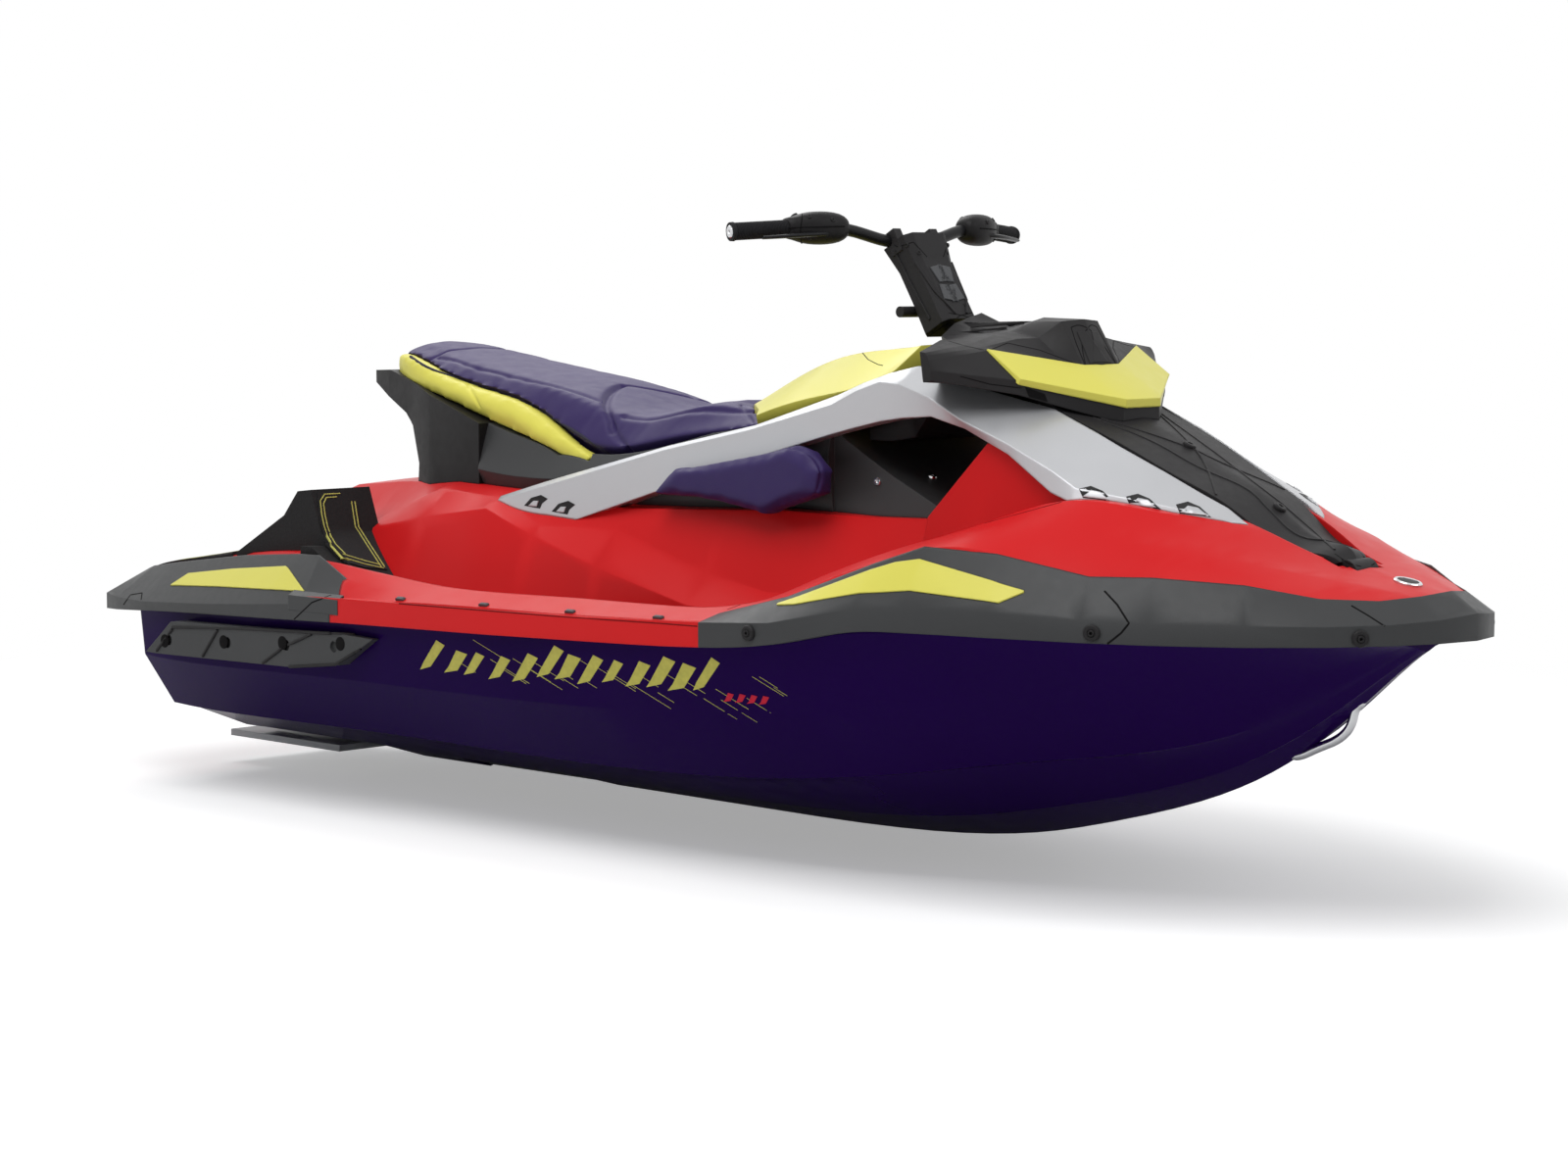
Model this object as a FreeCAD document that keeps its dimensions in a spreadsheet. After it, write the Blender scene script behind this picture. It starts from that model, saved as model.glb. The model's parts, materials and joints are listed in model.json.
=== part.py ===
"""A two-seat personal watercraft: hull, deck, bumpers, seat, hood, steering and jet pump as separate pieces.

Forward is +X, port is +Y and up is +Z. Heights are worked out above the keel line, and each piece is then
lowered by the draft, so that the origin lies on the waterline at mid-length, on the centre plane.
"""
import FreeCAD
import Part
import math
import os
from FreeCAD import Vector

doc = FreeCAD.newDocument("personal_watercraft")

# Driving dimensions, in millimetres. Each has one cell, and its alias is its name.
SIZES = {
    "overall_length": 3130,
    "beam": 1130,
    "bar_height": 1150,
    "draft": 240,
    "deck_wall": 14,
    "rail_inset": 50,
    "moving_gap": 6,
    "hood_thickness": 20,
    "running_gap": 0.05,
    "overrun": 60,
    "pump_bore_radius": 74,
    "pump_wall": 12,
    "tunnel_clearance": 34,
    "pump_axis_height": 125,
    "shaft_radius": 12,
    "hub_radius": 30,
    "blade_thickness": 7,
    "nozzle_radius": 58,
    "nozzle_wall": 6,
    "nozzle_length": 115,
    "pivot_radius": 6,
    "bucket_radius": 94,
    "bucket_wall": 5,
    "bucket_width": 150,
    "ride_plate_thickness": 14,
    "ride_plate_clearance": 20,
    "ride_plate_width": 350,
    "grate_bar_radius": 4,
    "insert_depth": 12,
    "insert_rise": 2,
    "engine_length": 480,
    "engine_width": 300,
    "engine_tall": 340,
    "engine_room": 20,
    "mat_thickness": 8,
    "bin_length": 300,
    "bin_width": 190,
    "bin_depth": 115,
    "bin_wall": 4,
    "hinge_radius": 4,
    "hood_tip_radius": 24,
    "hood_tip_width": 64,
    "hinge_seat": 14,
    "eye_bore_radius": 12,
    "eye_radius": 22,
    "eye_thickness": 10,
    "eye_shank": 26,
    "stern_eye_bore_radius": 9,
    "stern_eye_radius": 17,
    "column_width": 118,
    "column_depth": 74,
    "column_length": 178,
    "column_lean": 30.3,
    "column_room": 26,
    "lug_radius": 10,
    "spindle_radius": 12,
    "spindle_length": 58,
    "bar_radius": 11,
    "grip_radius": 16,
    "grip_length": 118,
    "pod_length": 108,
    "pod_size": 58,
    "sponson_bolt_radius": 11,
    "sponson_depth": 62,
    "pad_depth": 46,
}

# Where the mechanical pieces are, as shares of the half length, the half beam and the bars' height.
PLACE_SHARES = {
    "pump_front_share": -0.671,
    "pump_rear_share": -0.831,
    "outlet_rear_share": -0.869,
    "bucket_pivot_share": 0.62,
    "plate_rear_share": -0.958,
    "plate_front_share": -0.716,
    "engine_middle_share": -0.026,
    "engine_floor_share": 0.098,
    "bin_middle_share": 0.645,
    "bin_top_share": 0.52,
    "bow_eye_share": 0.853,
    "bow_eye_height_share": 0.233,
    "stern_eye_share": -0.895,
    "stern_eye_out_share": 0.50,
    "stern_eye_height_share": 0.225,
}

# What follows from both, as formulas in cells of their own.
FORMULAS = {
    "half_length": "=overall_length / 2",
    "half_beam": "=beam / 2",
    "pump_front": "=pump_front_share * half_length",
    "pump_rear": "=pump_rear_share * half_length",
    "pump_outer": "=pump_bore_radius + pump_wall",
    "outlet_rear": "=outlet_rear_share * half_length",
    "spout_bore": "=nozzle_radius - 3 * nozzle_wall - moving_gap",
    "spout_outer": "=spout_bore + nozzle_wall",
    "spout_length": "=2.5 * nozzle_wall + 2 * moving_gap",
    "taper_length": "=pump_rear - outlet_rear - spout_length",
    "stator_length": "=0.4 * (pump_front - pump_rear)",
    "stator_front": "=pump_rear + stator_length",
    "pivot_place": "=outlet_rear - moving_gap",
    "ear_height": "=nozzle_radius + moving_gap",
    "nozzle_front": "=outlet_rear + moving_gap",
    "nozzle_end": "=0.75 * nozzle_radius",
    "bucket_place": "=nozzle_front - bucket_pivot_share * nozzle_length",
    "plate_rear": "=plate_rear_share * half_length",
    "plate_front": "=plate_front_share * half_length",
    "engine_middle": "=engine_middle_share * half_length",
    "engine_floor": "=engine_floor_share * bar_height",
    "bin_middle": "=bin_middle_share * half_length",
    "bin_top": "=bin_top_share * bar_height",
    "pin_length": "=hood_tip_width + 2 * moving_gap + 2 * hinge_seat",
    "bow_eye_place": "=bow_eye_share * half_length",
    "bow_eye_height": "=bow_eye_height_share * bar_height",
    "stern_eye_place": "=stern_eye_share * half_length - eye_shank",
    "stern_eye_out": "=stern_eye_out_share * half_beam",
    "stern_eye_height": "=stern_eye_height_share * bar_height",
}

sheet = doc.addObject("Spreadsheet::Sheet", "Sizes")
cells = {**SIZES, **PLACE_SHARES, **FORMULAS}
for row_number, (alias, value) in enumerate(cells.items(), start=1):
    sheet.set("A%d" % row_number, alias)
    sheet.set("B%d" % row_number, str(value))
    sheet.setAlias("B%d" % row_number, alias)
doc.recompute()


def size(alias):
    """The value of one of the sheet's cells."""
    return float(sheet.get(alias))


half_length = size("half_length")
half_beam = size("half_beam")
tall = size("bar_height")
draft = size("draft")
beyond = size("overrun")
gap = size("moving_gap")

# Hull stations, from the transom to the stem: (along, then out and up for the keel, the strake's two edges,
# the chine's two edges, the knuckle and the gunwale).
HULL_SHARES = (
    (-0.895, (0.000, 0.000), (0.327, 0.050), (0.363, 0.048), (0.651, 0.103), (0.699, 0.105),
     (0.828, 0.200), (0.846, 0.287)),
    (-0.575, (0.000, 0.000), (0.336, 0.050), (0.372, 0.048), (0.694, 0.104), (0.740, 0.107),
     (0.896, 0.204), (0.938, 0.300)),
    (-0.192, (0.000, 0.000), (0.336, 0.050), (0.372, 0.048), (0.704, 0.106), (0.752, 0.109),
     (0.920, 0.211), (0.968, 0.315)),
    (0.192, (0.000, 0.000), (0.322, 0.052), (0.358, 0.050), (0.681, 0.117), (0.729, 0.119),
     (0.899, 0.228), (0.966, 0.334)),
    (0.447, (0.000, 0.033), (0.265, 0.078), (0.297, 0.076), (0.575, 0.155), (0.616, 0.157),
     (0.796, 0.259), (0.917, 0.374)),
    (0.639, (0.000, 0.103), (0.177, 0.135), (0.202, 0.133), (0.389, 0.193), (0.421, 0.196),
     (0.611, 0.277), (0.800, 0.381)),
    (0.780, (0.000, 0.193), (0.097, 0.211), (0.112, 0.210), (0.221, 0.242), (0.242, 0.244),
     (0.393, 0.300), (0.602, 0.379)),
    (0.882, (0.000, 0.302), (0.044, 0.309), (0.051, 0.309), (0.103, 0.322), (0.113, 0.323),
     (0.198, 0.345), (0.381, 0.380)),
    (0.939, (0.000, 0.363), (0.014, 0.365), (0.018, 0.365), (0.039, 0.369), (0.044, 0.370),
     (0.085, 0.374), (0.186, 0.382)),
)

# Deck stations: (along, then out and up for the centre line, two inner points, the inner and the outer edge).
DECK_SHARES = (
    (-0.987, (0.000, 0.317), (0.531, 0.317), (0.655, 0.316), (0.699, 0.310), (0.729, 0.296)),
    (-0.958, (0.000, 0.336), (0.531, 0.336), (0.646, 0.335), (0.712, 0.323), (0.779, 0.294)),
    (-0.927, (0.000, 0.351), (0.566, 0.351), (0.708, 0.349), (0.761, 0.335), (0.832, 0.297)),
    (-0.831, (0.000, 0.375), (0.566, 0.375), (0.735, 0.371), (0.805, 0.341), (0.878, 0.303)),
    (-0.671, (0.000, 0.407), (0.566, 0.407), (0.770, 0.402), (0.841, 0.370), (0.927, 0.315)),
    (-0.511, (0.000, 0.417), (0.566, 0.417), (0.823, 0.412), (0.894, 0.378), (0.956, 0.335)),
    (-0.224, (0.000, 0.409), (0.566, 0.409), (0.796, 0.396), (0.906, 0.370), (0.968, 0.357)),
    (0.000, (0.000, 0.409), (0.566, 0.409), (0.796, 0.396), (0.910, 0.375), (0.972, 0.362)),
    (0.192, (0.000, 0.417), (0.637, 0.417), (0.796, 0.402), (0.906, 0.379), (0.968, 0.369)),
    (0.288, (0.000, 0.435), (0.673, 0.435), (0.800, 0.419), (0.896, 0.396), (0.958, 0.374)),
    (0.383, (0.000, 0.465), (0.673, 0.465), (0.796, 0.461), (0.871, 0.446), (0.935, 0.396)),
    (0.460, (0.000, 0.500), (0.637, 0.503), (0.761, 0.497), (0.844, 0.480), (0.912, 0.410)),
    (0.524, (0.000, 0.532), (0.602, 0.532), (0.726, 0.519), (0.814, 0.502), (0.885, 0.416)),
    (0.607, (0.000, 0.574), (0.504, 0.567), (0.655, 0.528), (0.761, 0.492), (0.828, 0.414)),
    (0.703, (0.000, 0.570), (0.363, 0.551), (0.540, 0.513), (0.676, 0.461), (0.735, 0.410)),
    (0.767, (0.000, 0.541), (0.198, 0.530), (0.442, 0.500), (0.589, 0.465), (0.641, 0.409)),
    (0.831, (0.000, 0.497), (0.115, 0.492), (0.319, 0.480), (0.474, 0.457), (0.527, 0.409)),
    (0.895, (0.000, 0.465), (0.053, 0.464), (0.195, 0.461), (0.336, 0.443), (0.393, 0.409)),
    (0.946, (0.000, 0.448), (0.035, 0.448), (0.106, 0.445), (0.195, 0.437), (0.262, 0.410)),
    (0.978, (0.000, 0.440), (0.018, 0.440), (0.039, 0.439), (0.071, 0.436), (0.142, 0.416)),
)

# The line where hull and deck meet, seen from the side: (along, up).
PARTING_SHARES = (
    (-1.086, 0.275), (-0.958, 0.277), (-0.863, 0.285), (-0.639, 0.298), (-0.383, 0.310),
    (-0.128, 0.318),
    (0.051, 0.325), (0.230, 0.334), (0.351, 0.352), (0.447, 0.377), (0.511, 0.381), (0.639, 0.381),
    (0.831, 0.380),
    (0.958, 0.383), (1.086, 0.391),
)

# The red side rail between the bumpers: (along, out, lower edge, upper edge).
RAIL_SHARES = (
    (-0.511, 0.973, 0.303, 0.347), (-0.383, 0.986, 0.310, 0.351), (-0.128, 0.998, 0.318, 0.357),
    (0.051, 1.000, 0.325, 0.363), (0.230, 0.993, 0.334, 0.372),
)

# Bow bumper stations on one side: (along, out, lower edge, upper edge, inner along, inner out, inner top).
BOW_BUMPER_SHARES = (
    (0.230, 0.995, 0.334, 0.372, 0.230, 0.904, 0.383),
    (0.332, 0.981, 0.346, 0.380, 0.332, 0.892, 0.417),
    (0.447, 0.949, 0.377, 0.411, 0.447, 0.858, 0.474),
    (0.511, 0.922, 0.381, 0.417, 0.511, 0.830, 0.503),
    (0.607, 0.858, 0.383, 0.417, 0.594, 0.772, 0.497),
    (0.703, 0.765, 0.379, 0.412, 0.690, 0.681, 0.470),
    (0.767, 0.681, 0.378, 0.410, 0.751, 0.602, 0.471),
    (0.850, 0.540, 0.380, 0.410, 0.831, 0.469, 0.463),
    (0.914, 0.400, 0.380, 0.410, 0.891, 0.340, 0.445),
    (0.958, 0.269, 0.383, 0.412, 0.934, 0.221, 0.442),
    (0.987, 0.142, 0.388, 0.417, 0.958, 0.117, 0.447),
)
BOW_TIP_SHARES = (
    (1.000, 0.000, 0.393, 0.423, 0.968, 0.000, 0.452),
)

# Stern bumper stations, from beside the centre round the corner and forward, in the same order of values.
STERN_BUMPER_SHARES = (
    (-1.000, 0.265, 0.277, 0.306, -0.971, 0.265, 0.335),
    (-1.000, 0.531, 0.277, 0.306, -0.971, 0.513, 0.335),
    (-1.000, 0.743, 0.277, 0.306, -0.958, 0.681, 0.341),
    (-0.987, 0.818, 0.277, 0.304, -0.933, 0.726, 0.352),
    (-0.946, 0.853, 0.276, 0.301, -0.914, 0.743, 0.358),
    (-0.869, 0.897, 0.280, 0.301, -0.850, 0.761, 0.370),
    (-0.703, 0.943, 0.290, 0.313, -0.684, 0.800, 0.397),
    (-0.575, 0.968, 0.298, 0.325, -0.548, 0.846, 0.411),
    (-0.486, 0.979, 0.304, 0.334, -0.498, 0.864, 0.413),
    (-0.428, 0.984, 0.307, 0.340, -0.383, 0.920, 0.357),
)

# The footwells, seen from above (along, out) and from the side (along, up).
WELL_PLAN_SHARES = (
    (-0.588, 0.828), (-0.422, 0.855), (-0.256, 0.867), (0.192, 0.867), (0.288, 0.841), (0.383, 0.779),
    (0.479, 0.673), (0.550, 0.584),
)
WELL_SIDE_SHARES = (
    (-0.562, 0.539), (-0.543, 0.365), (-0.473, 0.261), (0.192, 0.261), (0.288, 0.278), (0.396, 0.365),
    (0.537, 0.539),
)

# The red body under the seat: (along, then out and up for the centre line and three points down its flank).
BODY_SHARES = (
    (-0.907, (0.000, 0.348), (0.212, 0.348), (0.354, 0.348), (0.425, 0.339), (0.496, 0.322)),
    (-0.799, (0.000, 0.478), (0.177, 0.474), (0.354, 0.413), (0.478, 0.383), (0.602, 0.330)),
    (-0.703, (0.000, 0.515), (0.230, 0.509), (0.416, 0.430), (0.531, 0.396), (0.673, 0.313)),
    (-0.588, (0.000, 0.532), (0.283, 0.522), (0.442, 0.452), (0.531, 0.435), (0.743, 0.287)),
    (-0.441, (0.000, 0.535), (0.354, 0.532), (0.442, 0.522), (0.531, 0.474), (0.726, 0.252)),
    (-0.319, (0.000, 0.532), (0.407, 0.527), (0.464, 0.513), (0.531, 0.497), (0.708, 0.252)),
    (-0.230, (0.000, 0.532), (0.434, 0.522), (0.504, 0.474), (0.540, 0.457), (0.681, 0.252)),
    (-0.102, (0.000, 0.532), (0.442, 0.509), (0.474, 0.475), (0.575, 0.416), (0.628, 0.252)),
    (0.064, (0.000, 0.532), (0.425, 0.517), (0.504, 0.417), (0.602, 0.370), (0.611, 0.252)),
    (0.160, (0.000, 0.532), (0.416, 0.522), (0.504, 0.396), (0.593, 0.361), (0.602, 0.252)),
    (0.288, (0.000, 0.532), (0.381, 0.518), (0.469, 0.391), (0.549, 0.348), (0.558, 0.252)),
    (0.415, (0.000, 0.532), (0.372, 0.522), (0.442, 0.435), (0.496, 0.365), (0.531, 0.261)),
    (0.575, (0.000, 0.532), (0.372, 0.523), (0.407, 0.487), (0.442, 0.417), (0.496, 0.348)),
)
BULKHEAD_SHARES = (
    (0.374, 0.478), (0.383, 0.526), (0.470, 0.642), (0.518, 0.639), (0.575, 0.574), (0.607, 0.522),
    (0.607, 0.435),
)
BULKHEAD_WIDTH_SHARE = 0.42

# The side arch, from the seat back to the bow: (along, then out and up for its inner top edge, its crease,
# its lower edge and its inner lower edge).
ARCH_SHARES = (
    (-0.383, (0.451, 0.495), (0.467, 0.491), (0.471, 0.487), (0.418, 0.487)),
    (-0.319, (0.453, 0.517), (0.478, 0.509), (0.483, 0.476), (0.407, 0.476)),
    (-0.236, (0.453, 0.546), (0.478, 0.537), (0.483, 0.461), (0.404, 0.461)),
    (-0.026, (0.437, 0.615), (0.460, 0.608), (0.464, 0.545), (0.393, 0.545)),
    (0.115, (0.425, 0.654), (0.448, 0.647), (0.450, 0.600), (0.379, 0.600)),
    (0.243, (0.411, 0.706), (0.444, 0.691), (0.442, 0.646), (0.372, 0.646)),
    (0.281, (0.405, 0.726), (0.446, 0.713), (0.442, 0.658), (0.363, 0.658)),
    (0.319, (0.396, 0.742), (0.448, 0.729), (0.442, 0.669), (0.350, 0.669)),
    (0.351, (0.368, 0.753), (0.455, 0.726), (0.444, 0.675), (0.336, 0.675)),
    (0.396, (0.319, 0.753), (0.464, 0.709), (0.448, 0.679), (0.301, 0.679)),
    (0.447, (0.265, 0.732), (0.465, 0.675), (0.451, 0.663), (0.265, 0.668)),
    (0.511, (0.258, 0.695), (0.465, 0.644), (0.457, 0.628), (0.258, 0.650)),
    (0.575, (0.253, 0.659), (0.464, 0.607), (0.471, 0.576), (0.250, 0.622)),
    (0.607, (0.248, 0.639), (0.464, 0.584), (0.481, 0.563), (0.244, 0.609)),
    (0.658, (0.227, 0.607), (0.411, 0.572), (0.421, 0.554), (0.223, 0.581)),
    (0.703, (0.207, 0.577), (0.336, 0.559), (0.347, 0.546), (0.204, 0.557)),
    (0.735, (0.193, 0.557), (0.265, 0.547), (0.273, 0.537), (0.191, 0.541)),
    (0.760, (0.188, 0.535), (0.205, 0.532), (0.209, 0.527), (0.184, 0.527)),
)

# The black base under the seat: (along, then out and up from the centre bottom round to the centre top).
SEAT_BASE_SHARES = (
    (-0.396, (0.000, 0.513), (0.336, 0.513), (0.381, 0.557), (0.327, 0.639), (0.000, 0.639)),
    (-0.256, (0.000, 0.513), (0.372, 0.513), (0.404, 0.548), (0.345, 0.600), (0.000, 0.600)),
    (-0.128, (0.000, 0.513), (0.372, 0.513), (0.404, 0.557), (0.354, 0.596), (0.000, 0.596)),
    (0.000, (0.000, 0.513), (0.372, 0.513), (0.400, 0.574), (0.354, 0.630), (0.000, 0.630)),
    (0.115, (0.000, 0.513), (0.363, 0.513), (0.393, 0.591), (0.354, 0.661), (0.000, 0.661)),
    (0.217, (0.000, 0.513), (0.354, 0.513), (0.381, 0.609), (0.354, 0.674), (0.000, 0.674)),
)
KNEE_SLOPE_SHARES = (
    (0.217, 0.513), (0.217, 0.648), (0.305, 0.584), (0.383, 0.535), (0.383, 0.513),
)
KNEE_SLOPE_WIDTH_SHARE = 0.35

# The seat: (along, then out and up from the centre bottom round to the centre top).
CUSHION_SHARES = (
    (-0.661, (0.000, 0.726), (0.088, 0.726), (0.124, 0.739), (0.088, 0.755), (0.000, 0.758)),
    (-0.633, (0.000, 0.709), (0.150, 0.709), (0.191, 0.739), (0.159, 0.758), (0.000, 0.766)),
    (-0.575, (0.000, 0.691), (0.204, 0.691), (0.257, 0.730), (0.209, 0.753), (0.000, 0.759)),
    (-0.530, (0.000, 0.678), (0.221, 0.678), (0.280, 0.726), (0.221, 0.741), (0.000, 0.749)),
    (-0.422, (0.000, 0.639), (0.248, 0.639), (0.304, 0.694), (0.248, 0.718), (0.000, 0.725)),
    (-0.345, (0.000, 0.613), (0.265, 0.613), (0.319, 0.674), (0.265, 0.703), (0.000, 0.710)),
    (-0.268, (0.000, 0.590), (0.283, 0.590), (0.340, 0.633), (0.283, 0.683), (0.000, 0.694)),
    (-0.160, (0.000, 0.581), (0.301, 0.581), (0.363, 0.600), (0.292, 0.650), (0.000, 0.660)),
    (-0.077, (0.000, 0.598), (0.310, 0.598), (0.368, 0.619), (0.292, 0.659), (0.000, 0.670)),
    (-0.022, (0.000, 0.613), (0.310, 0.613), (0.368, 0.633), (0.283, 0.673), (0.000, 0.683)),
    (0.038, (0.000, 0.626), (0.310, 0.626), (0.372, 0.645), (0.283, 0.681), (0.000, 0.706)),
    (0.121, (0.000, 0.648), (0.310, 0.648), (0.377, 0.668), (0.283, 0.706), (0.000, 0.739)),
)

# The yellow panel on each side of the seat: (along, then out and up round its section).
SEAT_PANEL_SHARES = (
    (-0.652, (0.071, 0.729), (0.145, 0.729), (0.142, 0.750), (0.071, 0.750)),
    (-0.629, (0.124, 0.711), (0.202, 0.711), (0.198, 0.750), (0.124, 0.750)),
    (-0.594, (0.177, 0.697), (0.248, 0.697), (0.244, 0.746), (0.177, 0.746)),
    (-0.530, (0.212, 0.683), (0.297, 0.683), (0.283, 0.724), (0.212, 0.724)),
    (-0.422, (0.239, 0.645), (0.326, 0.645), (0.308, 0.693), (0.239, 0.693)),
    (-0.345, (0.257, 0.619), (0.343, 0.619), (0.322, 0.673), (0.257, 0.673)),
    (-0.268, (0.274, 0.594), (0.361, 0.594), (0.343, 0.632), (0.274, 0.632)),
    (-0.192, (0.301, 0.582), (0.368, 0.582), (0.365, 0.591), (0.301, 0.591)),
)

# The yellow cover between seat and steering.
SEAT_NOSE_SHARES = (
    (-0.038, (0.000, 0.604), (0.354, 0.604), (0.382, 0.623), (0.274, 0.666), (0.000, 0.677)),
    (0.064, (0.000, 0.633), (0.350, 0.633), (0.393, 0.649), (0.265, 0.687), (0.000, 0.723)),
    (0.147, (0.000, 0.654), (0.354, 0.654), (0.396, 0.685), (0.251, 0.741), (0.000, 0.762)),
    (0.236, (0.000, 0.665), (0.354, 0.665), (0.400, 0.709), (0.257, 0.771), (0.000, 0.777)),
    (0.323, (0.000, 0.696), (0.345, 0.696), (0.389, 0.746), (0.265, 0.783), (0.000, 0.787)),
)

# The seam between seat and cover, seen from above: its middle, its sides and the cover's far corner.
SEAM_SHARES = (
    (-0.022, 0.000), (0.013, 0.133), (0.054, 0.257), (0.096, 0.354), (0.141, 0.531), (0.383, 0.531),
)

# The support behind the seat with its grab handle, from the side and from above.
TAIL_SIDE_SHARES = (
    (-0.396, 0.513), (-0.550, 0.513), (-0.546, 0.557), (-0.567, 0.623), (-0.588, 0.645),
    (-0.693, 0.701), (-0.684, 0.718),
    (-0.633, 0.720), (-0.550, 0.696), (-0.396, 0.635),
)
TAIL_PLAN_SHARES = (
    (-0.396, 0.375), (-0.511, 0.336), (-0.575, 0.274), (-0.639, 0.230), (-0.684, 0.186),
    (-0.696, 0.106),
)
HAND_GAP_SHARES = (
    (-0.676, 0.127), (-0.636, 0.145),
)

# The black bridge between the arches, which carries the steering: (along, up).
BRIDGE_SHARES = (
    (0.254, 0.665), (0.254, 0.777), (0.319, 0.774), (0.396, 0.732), (0.460, 0.704), (0.511, 0.665),
    (0.537, 0.645), (0.511, 0.645), (0.447, 0.674), (0.383, 0.687), (0.288, 0.665),
)
BRIDGE_WIDTH_SHARE = 0.37

# The hood's spine: (along, half width, up at its edge).
SPINE_SHARES = (
    (0.383, 0.212, 0.758), (0.447, 0.241, 0.735), (0.511, 0.242, 0.696), (0.571, 0.235, 0.661),
    (0.627, 0.223, 0.628),
    (0.669, 0.204, 0.600), (0.719, 0.181, 0.569), (0.760, 0.159, 0.533), (0.813, 0.113, 0.498),
    (0.850, 0.057, 0.476),
)
SPINE_CROWN_SHARE = 0.012

# The dark cowl's side views, from the centre plane out to the fin's tip: (out, then along and up from the
# rear foot over the top to the front and back along the underside).
COWL_SHARES = (
    (0.000, (0.329, 0.765), (0.329, 0.832), (0.383, 0.805), (0.422, 0.826), (0.481, 0.824),
     (0.507, 0.755), (0.564, 0.693), (0.564, 0.668), (0.447, 0.704)),
    (0.088, (0.319, 0.765), (0.316, 0.816), (0.366, 0.803), (0.433, 0.821), (0.474, 0.821),
     (0.505, 0.755), (0.563, 0.695), (0.563, 0.670), (0.447, 0.704)),
    (0.142, (0.319, 0.765), (0.313, 0.796), (0.371, 0.801), (0.415, 0.805), (0.457, 0.796),
     (0.494, 0.760), (0.550, 0.703), (0.550, 0.678), (0.447, 0.704)),
    (0.212, (0.348, 0.752), (0.345, 0.791), (0.383, 0.801), (0.415, 0.801), (0.447, 0.795),
     (0.480, 0.766), (0.532, 0.713), (0.532, 0.689), (0.447, 0.709)),
    (0.354, (0.383, 0.739), (0.380, 0.793), (0.403, 0.792), (0.425, 0.788), (0.441, 0.783),
     (0.452, 0.779), (0.496, 0.735), (0.496, 0.713), (0.441, 0.727)),
    (0.549, (0.417, 0.732), (0.412, 0.777), (0.415, 0.777), (0.419, 0.776), (0.422, 0.772),
     (0.425, 0.765), (0.428, 0.750), (0.428, 0.735), (0.423, 0.732)),
)

# The yellow nose of the cowl in the same way: (out, then along and up of its four corners).
NOSE_SHARES = (
    (0.083, (0.506, 0.756), (0.566, 0.706), (0.566, 0.693), (0.498, 0.743)),
    (0.363, (0.451, 0.781), (0.500, 0.737), (0.496, 0.729), (0.447, 0.771)),
)

# The chock behind each footwell, from the side (along, up), and its inner and outer side.
CHOCK_SHARES = (
    (-0.722, 0.396), (-0.617, 0.471), (-0.588, 0.515), (-0.561, 0.519), (-0.540, 0.443),
    (-0.431, 0.348), (-0.419, 0.263), (-0.562, 0.263),
)
CHOCK_SIDE_SHARES = (0.50, 0.765, 0.825)
CHOCK_FOOT_SHARES = (
    (-0.555, 0.423), (-0.534, 0.423), (-0.431, 0.348), (-0.419, 0.263), (-0.562, 0.263),
)

# The knee pad on each side, from the side.
KNEE_PAD_SHARES = (
    (-0.031, 0.538), (0.006, 0.587), (0.199, 0.632), (0.227, 0.621), (0.250, 0.593), (0.246, 0.552),
    (0.160, 0.509), (0.081, 0.524),
)

# The sponson on each side of the stern, from the side, and its bolt holes.
SPONSON_SHARES = (
    (-0.818, 0.218), (-0.762, 0.277), (-0.405, 0.290), (-0.346, 0.287), (-0.416, 0.236),
    (-0.514, 0.223), (-0.796, 0.217),
)
SPONSON_BOLT_SHARES = (
    (-0.767, 0.244), (-0.640, 0.252), (-0.518, 0.260), (-0.422, 0.267),
)

# The yellow inserts in the bumpers: (along, then where the lower and the upper edge lie up the slope).
BOW_INSERT_SHARES = (
    (0.325, 0.70, 0.76), (0.354, 0.52, 0.79), (0.447, 0.34, 0.85), (0.479, 0.30, 0.86),
    (0.511, 0.28, 0.79), (0.607, 0.19, 0.54), (0.617, 0.18, 0.51), (0.641, 0.42, 0.46),
)
STERN_INSERT_SHARES = (
    (-0.828, 0.39, 0.42), (-0.810, 0.39, 0.67), (-0.703, 0.35, 0.71), (-0.582, 0.29, 0.75),
    (-0.575, 0.29, 0.72), (-0.489, 0.25, 0.27),
)

# The mats: on a footwell's floor and on the platform behind the seat, seen from above (along, out).
FOOT_MAT_SHARES = (
    (-0.371, 0.735), (-0.371, 0.842), (-0.256, 0.853), (0.192, 0.853), (0.268, 0.825), (0.268, 0.584),
    (0.064, 0.628), (-0.102, 0.655), (-0.256, 0.712),
)
PLATFORM_SHARES = (
    (-0.955, 0.637), (-0.933, 0.704), (-0.735, 0.752), (-0.716, 0.602),
)

# The intake duct's side view, and where the hinge, the column's foot and the eyes are.
DUCT_SHARES = (
    (-0.671, 0.046), (-0.671, 0.171), (-0.575, 0.171), (-0.383, 0.096), (-0.256, -0.026),
    (-0.524, -0.026), (-0.550, 0.043),
)
HINGE_SHARES = (0.850, 0.467)
COLUMN_FOOT_SHARES = (0.283, 0.808)

# The handlebar's bends on one side: (along, out, up).
BAR_SHARES = (
    (0.220, 0.000, 0.942), (0.217, 0.106, 0.943), (0.208, 0.292, 0.965), (0.192, 0.460, 0.963),
    (0.167, 0.669, 0.957),
)
POD_START_SHARE = 0.30
LUG_SHARES = (0.246, 0.133, 0.833)


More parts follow.
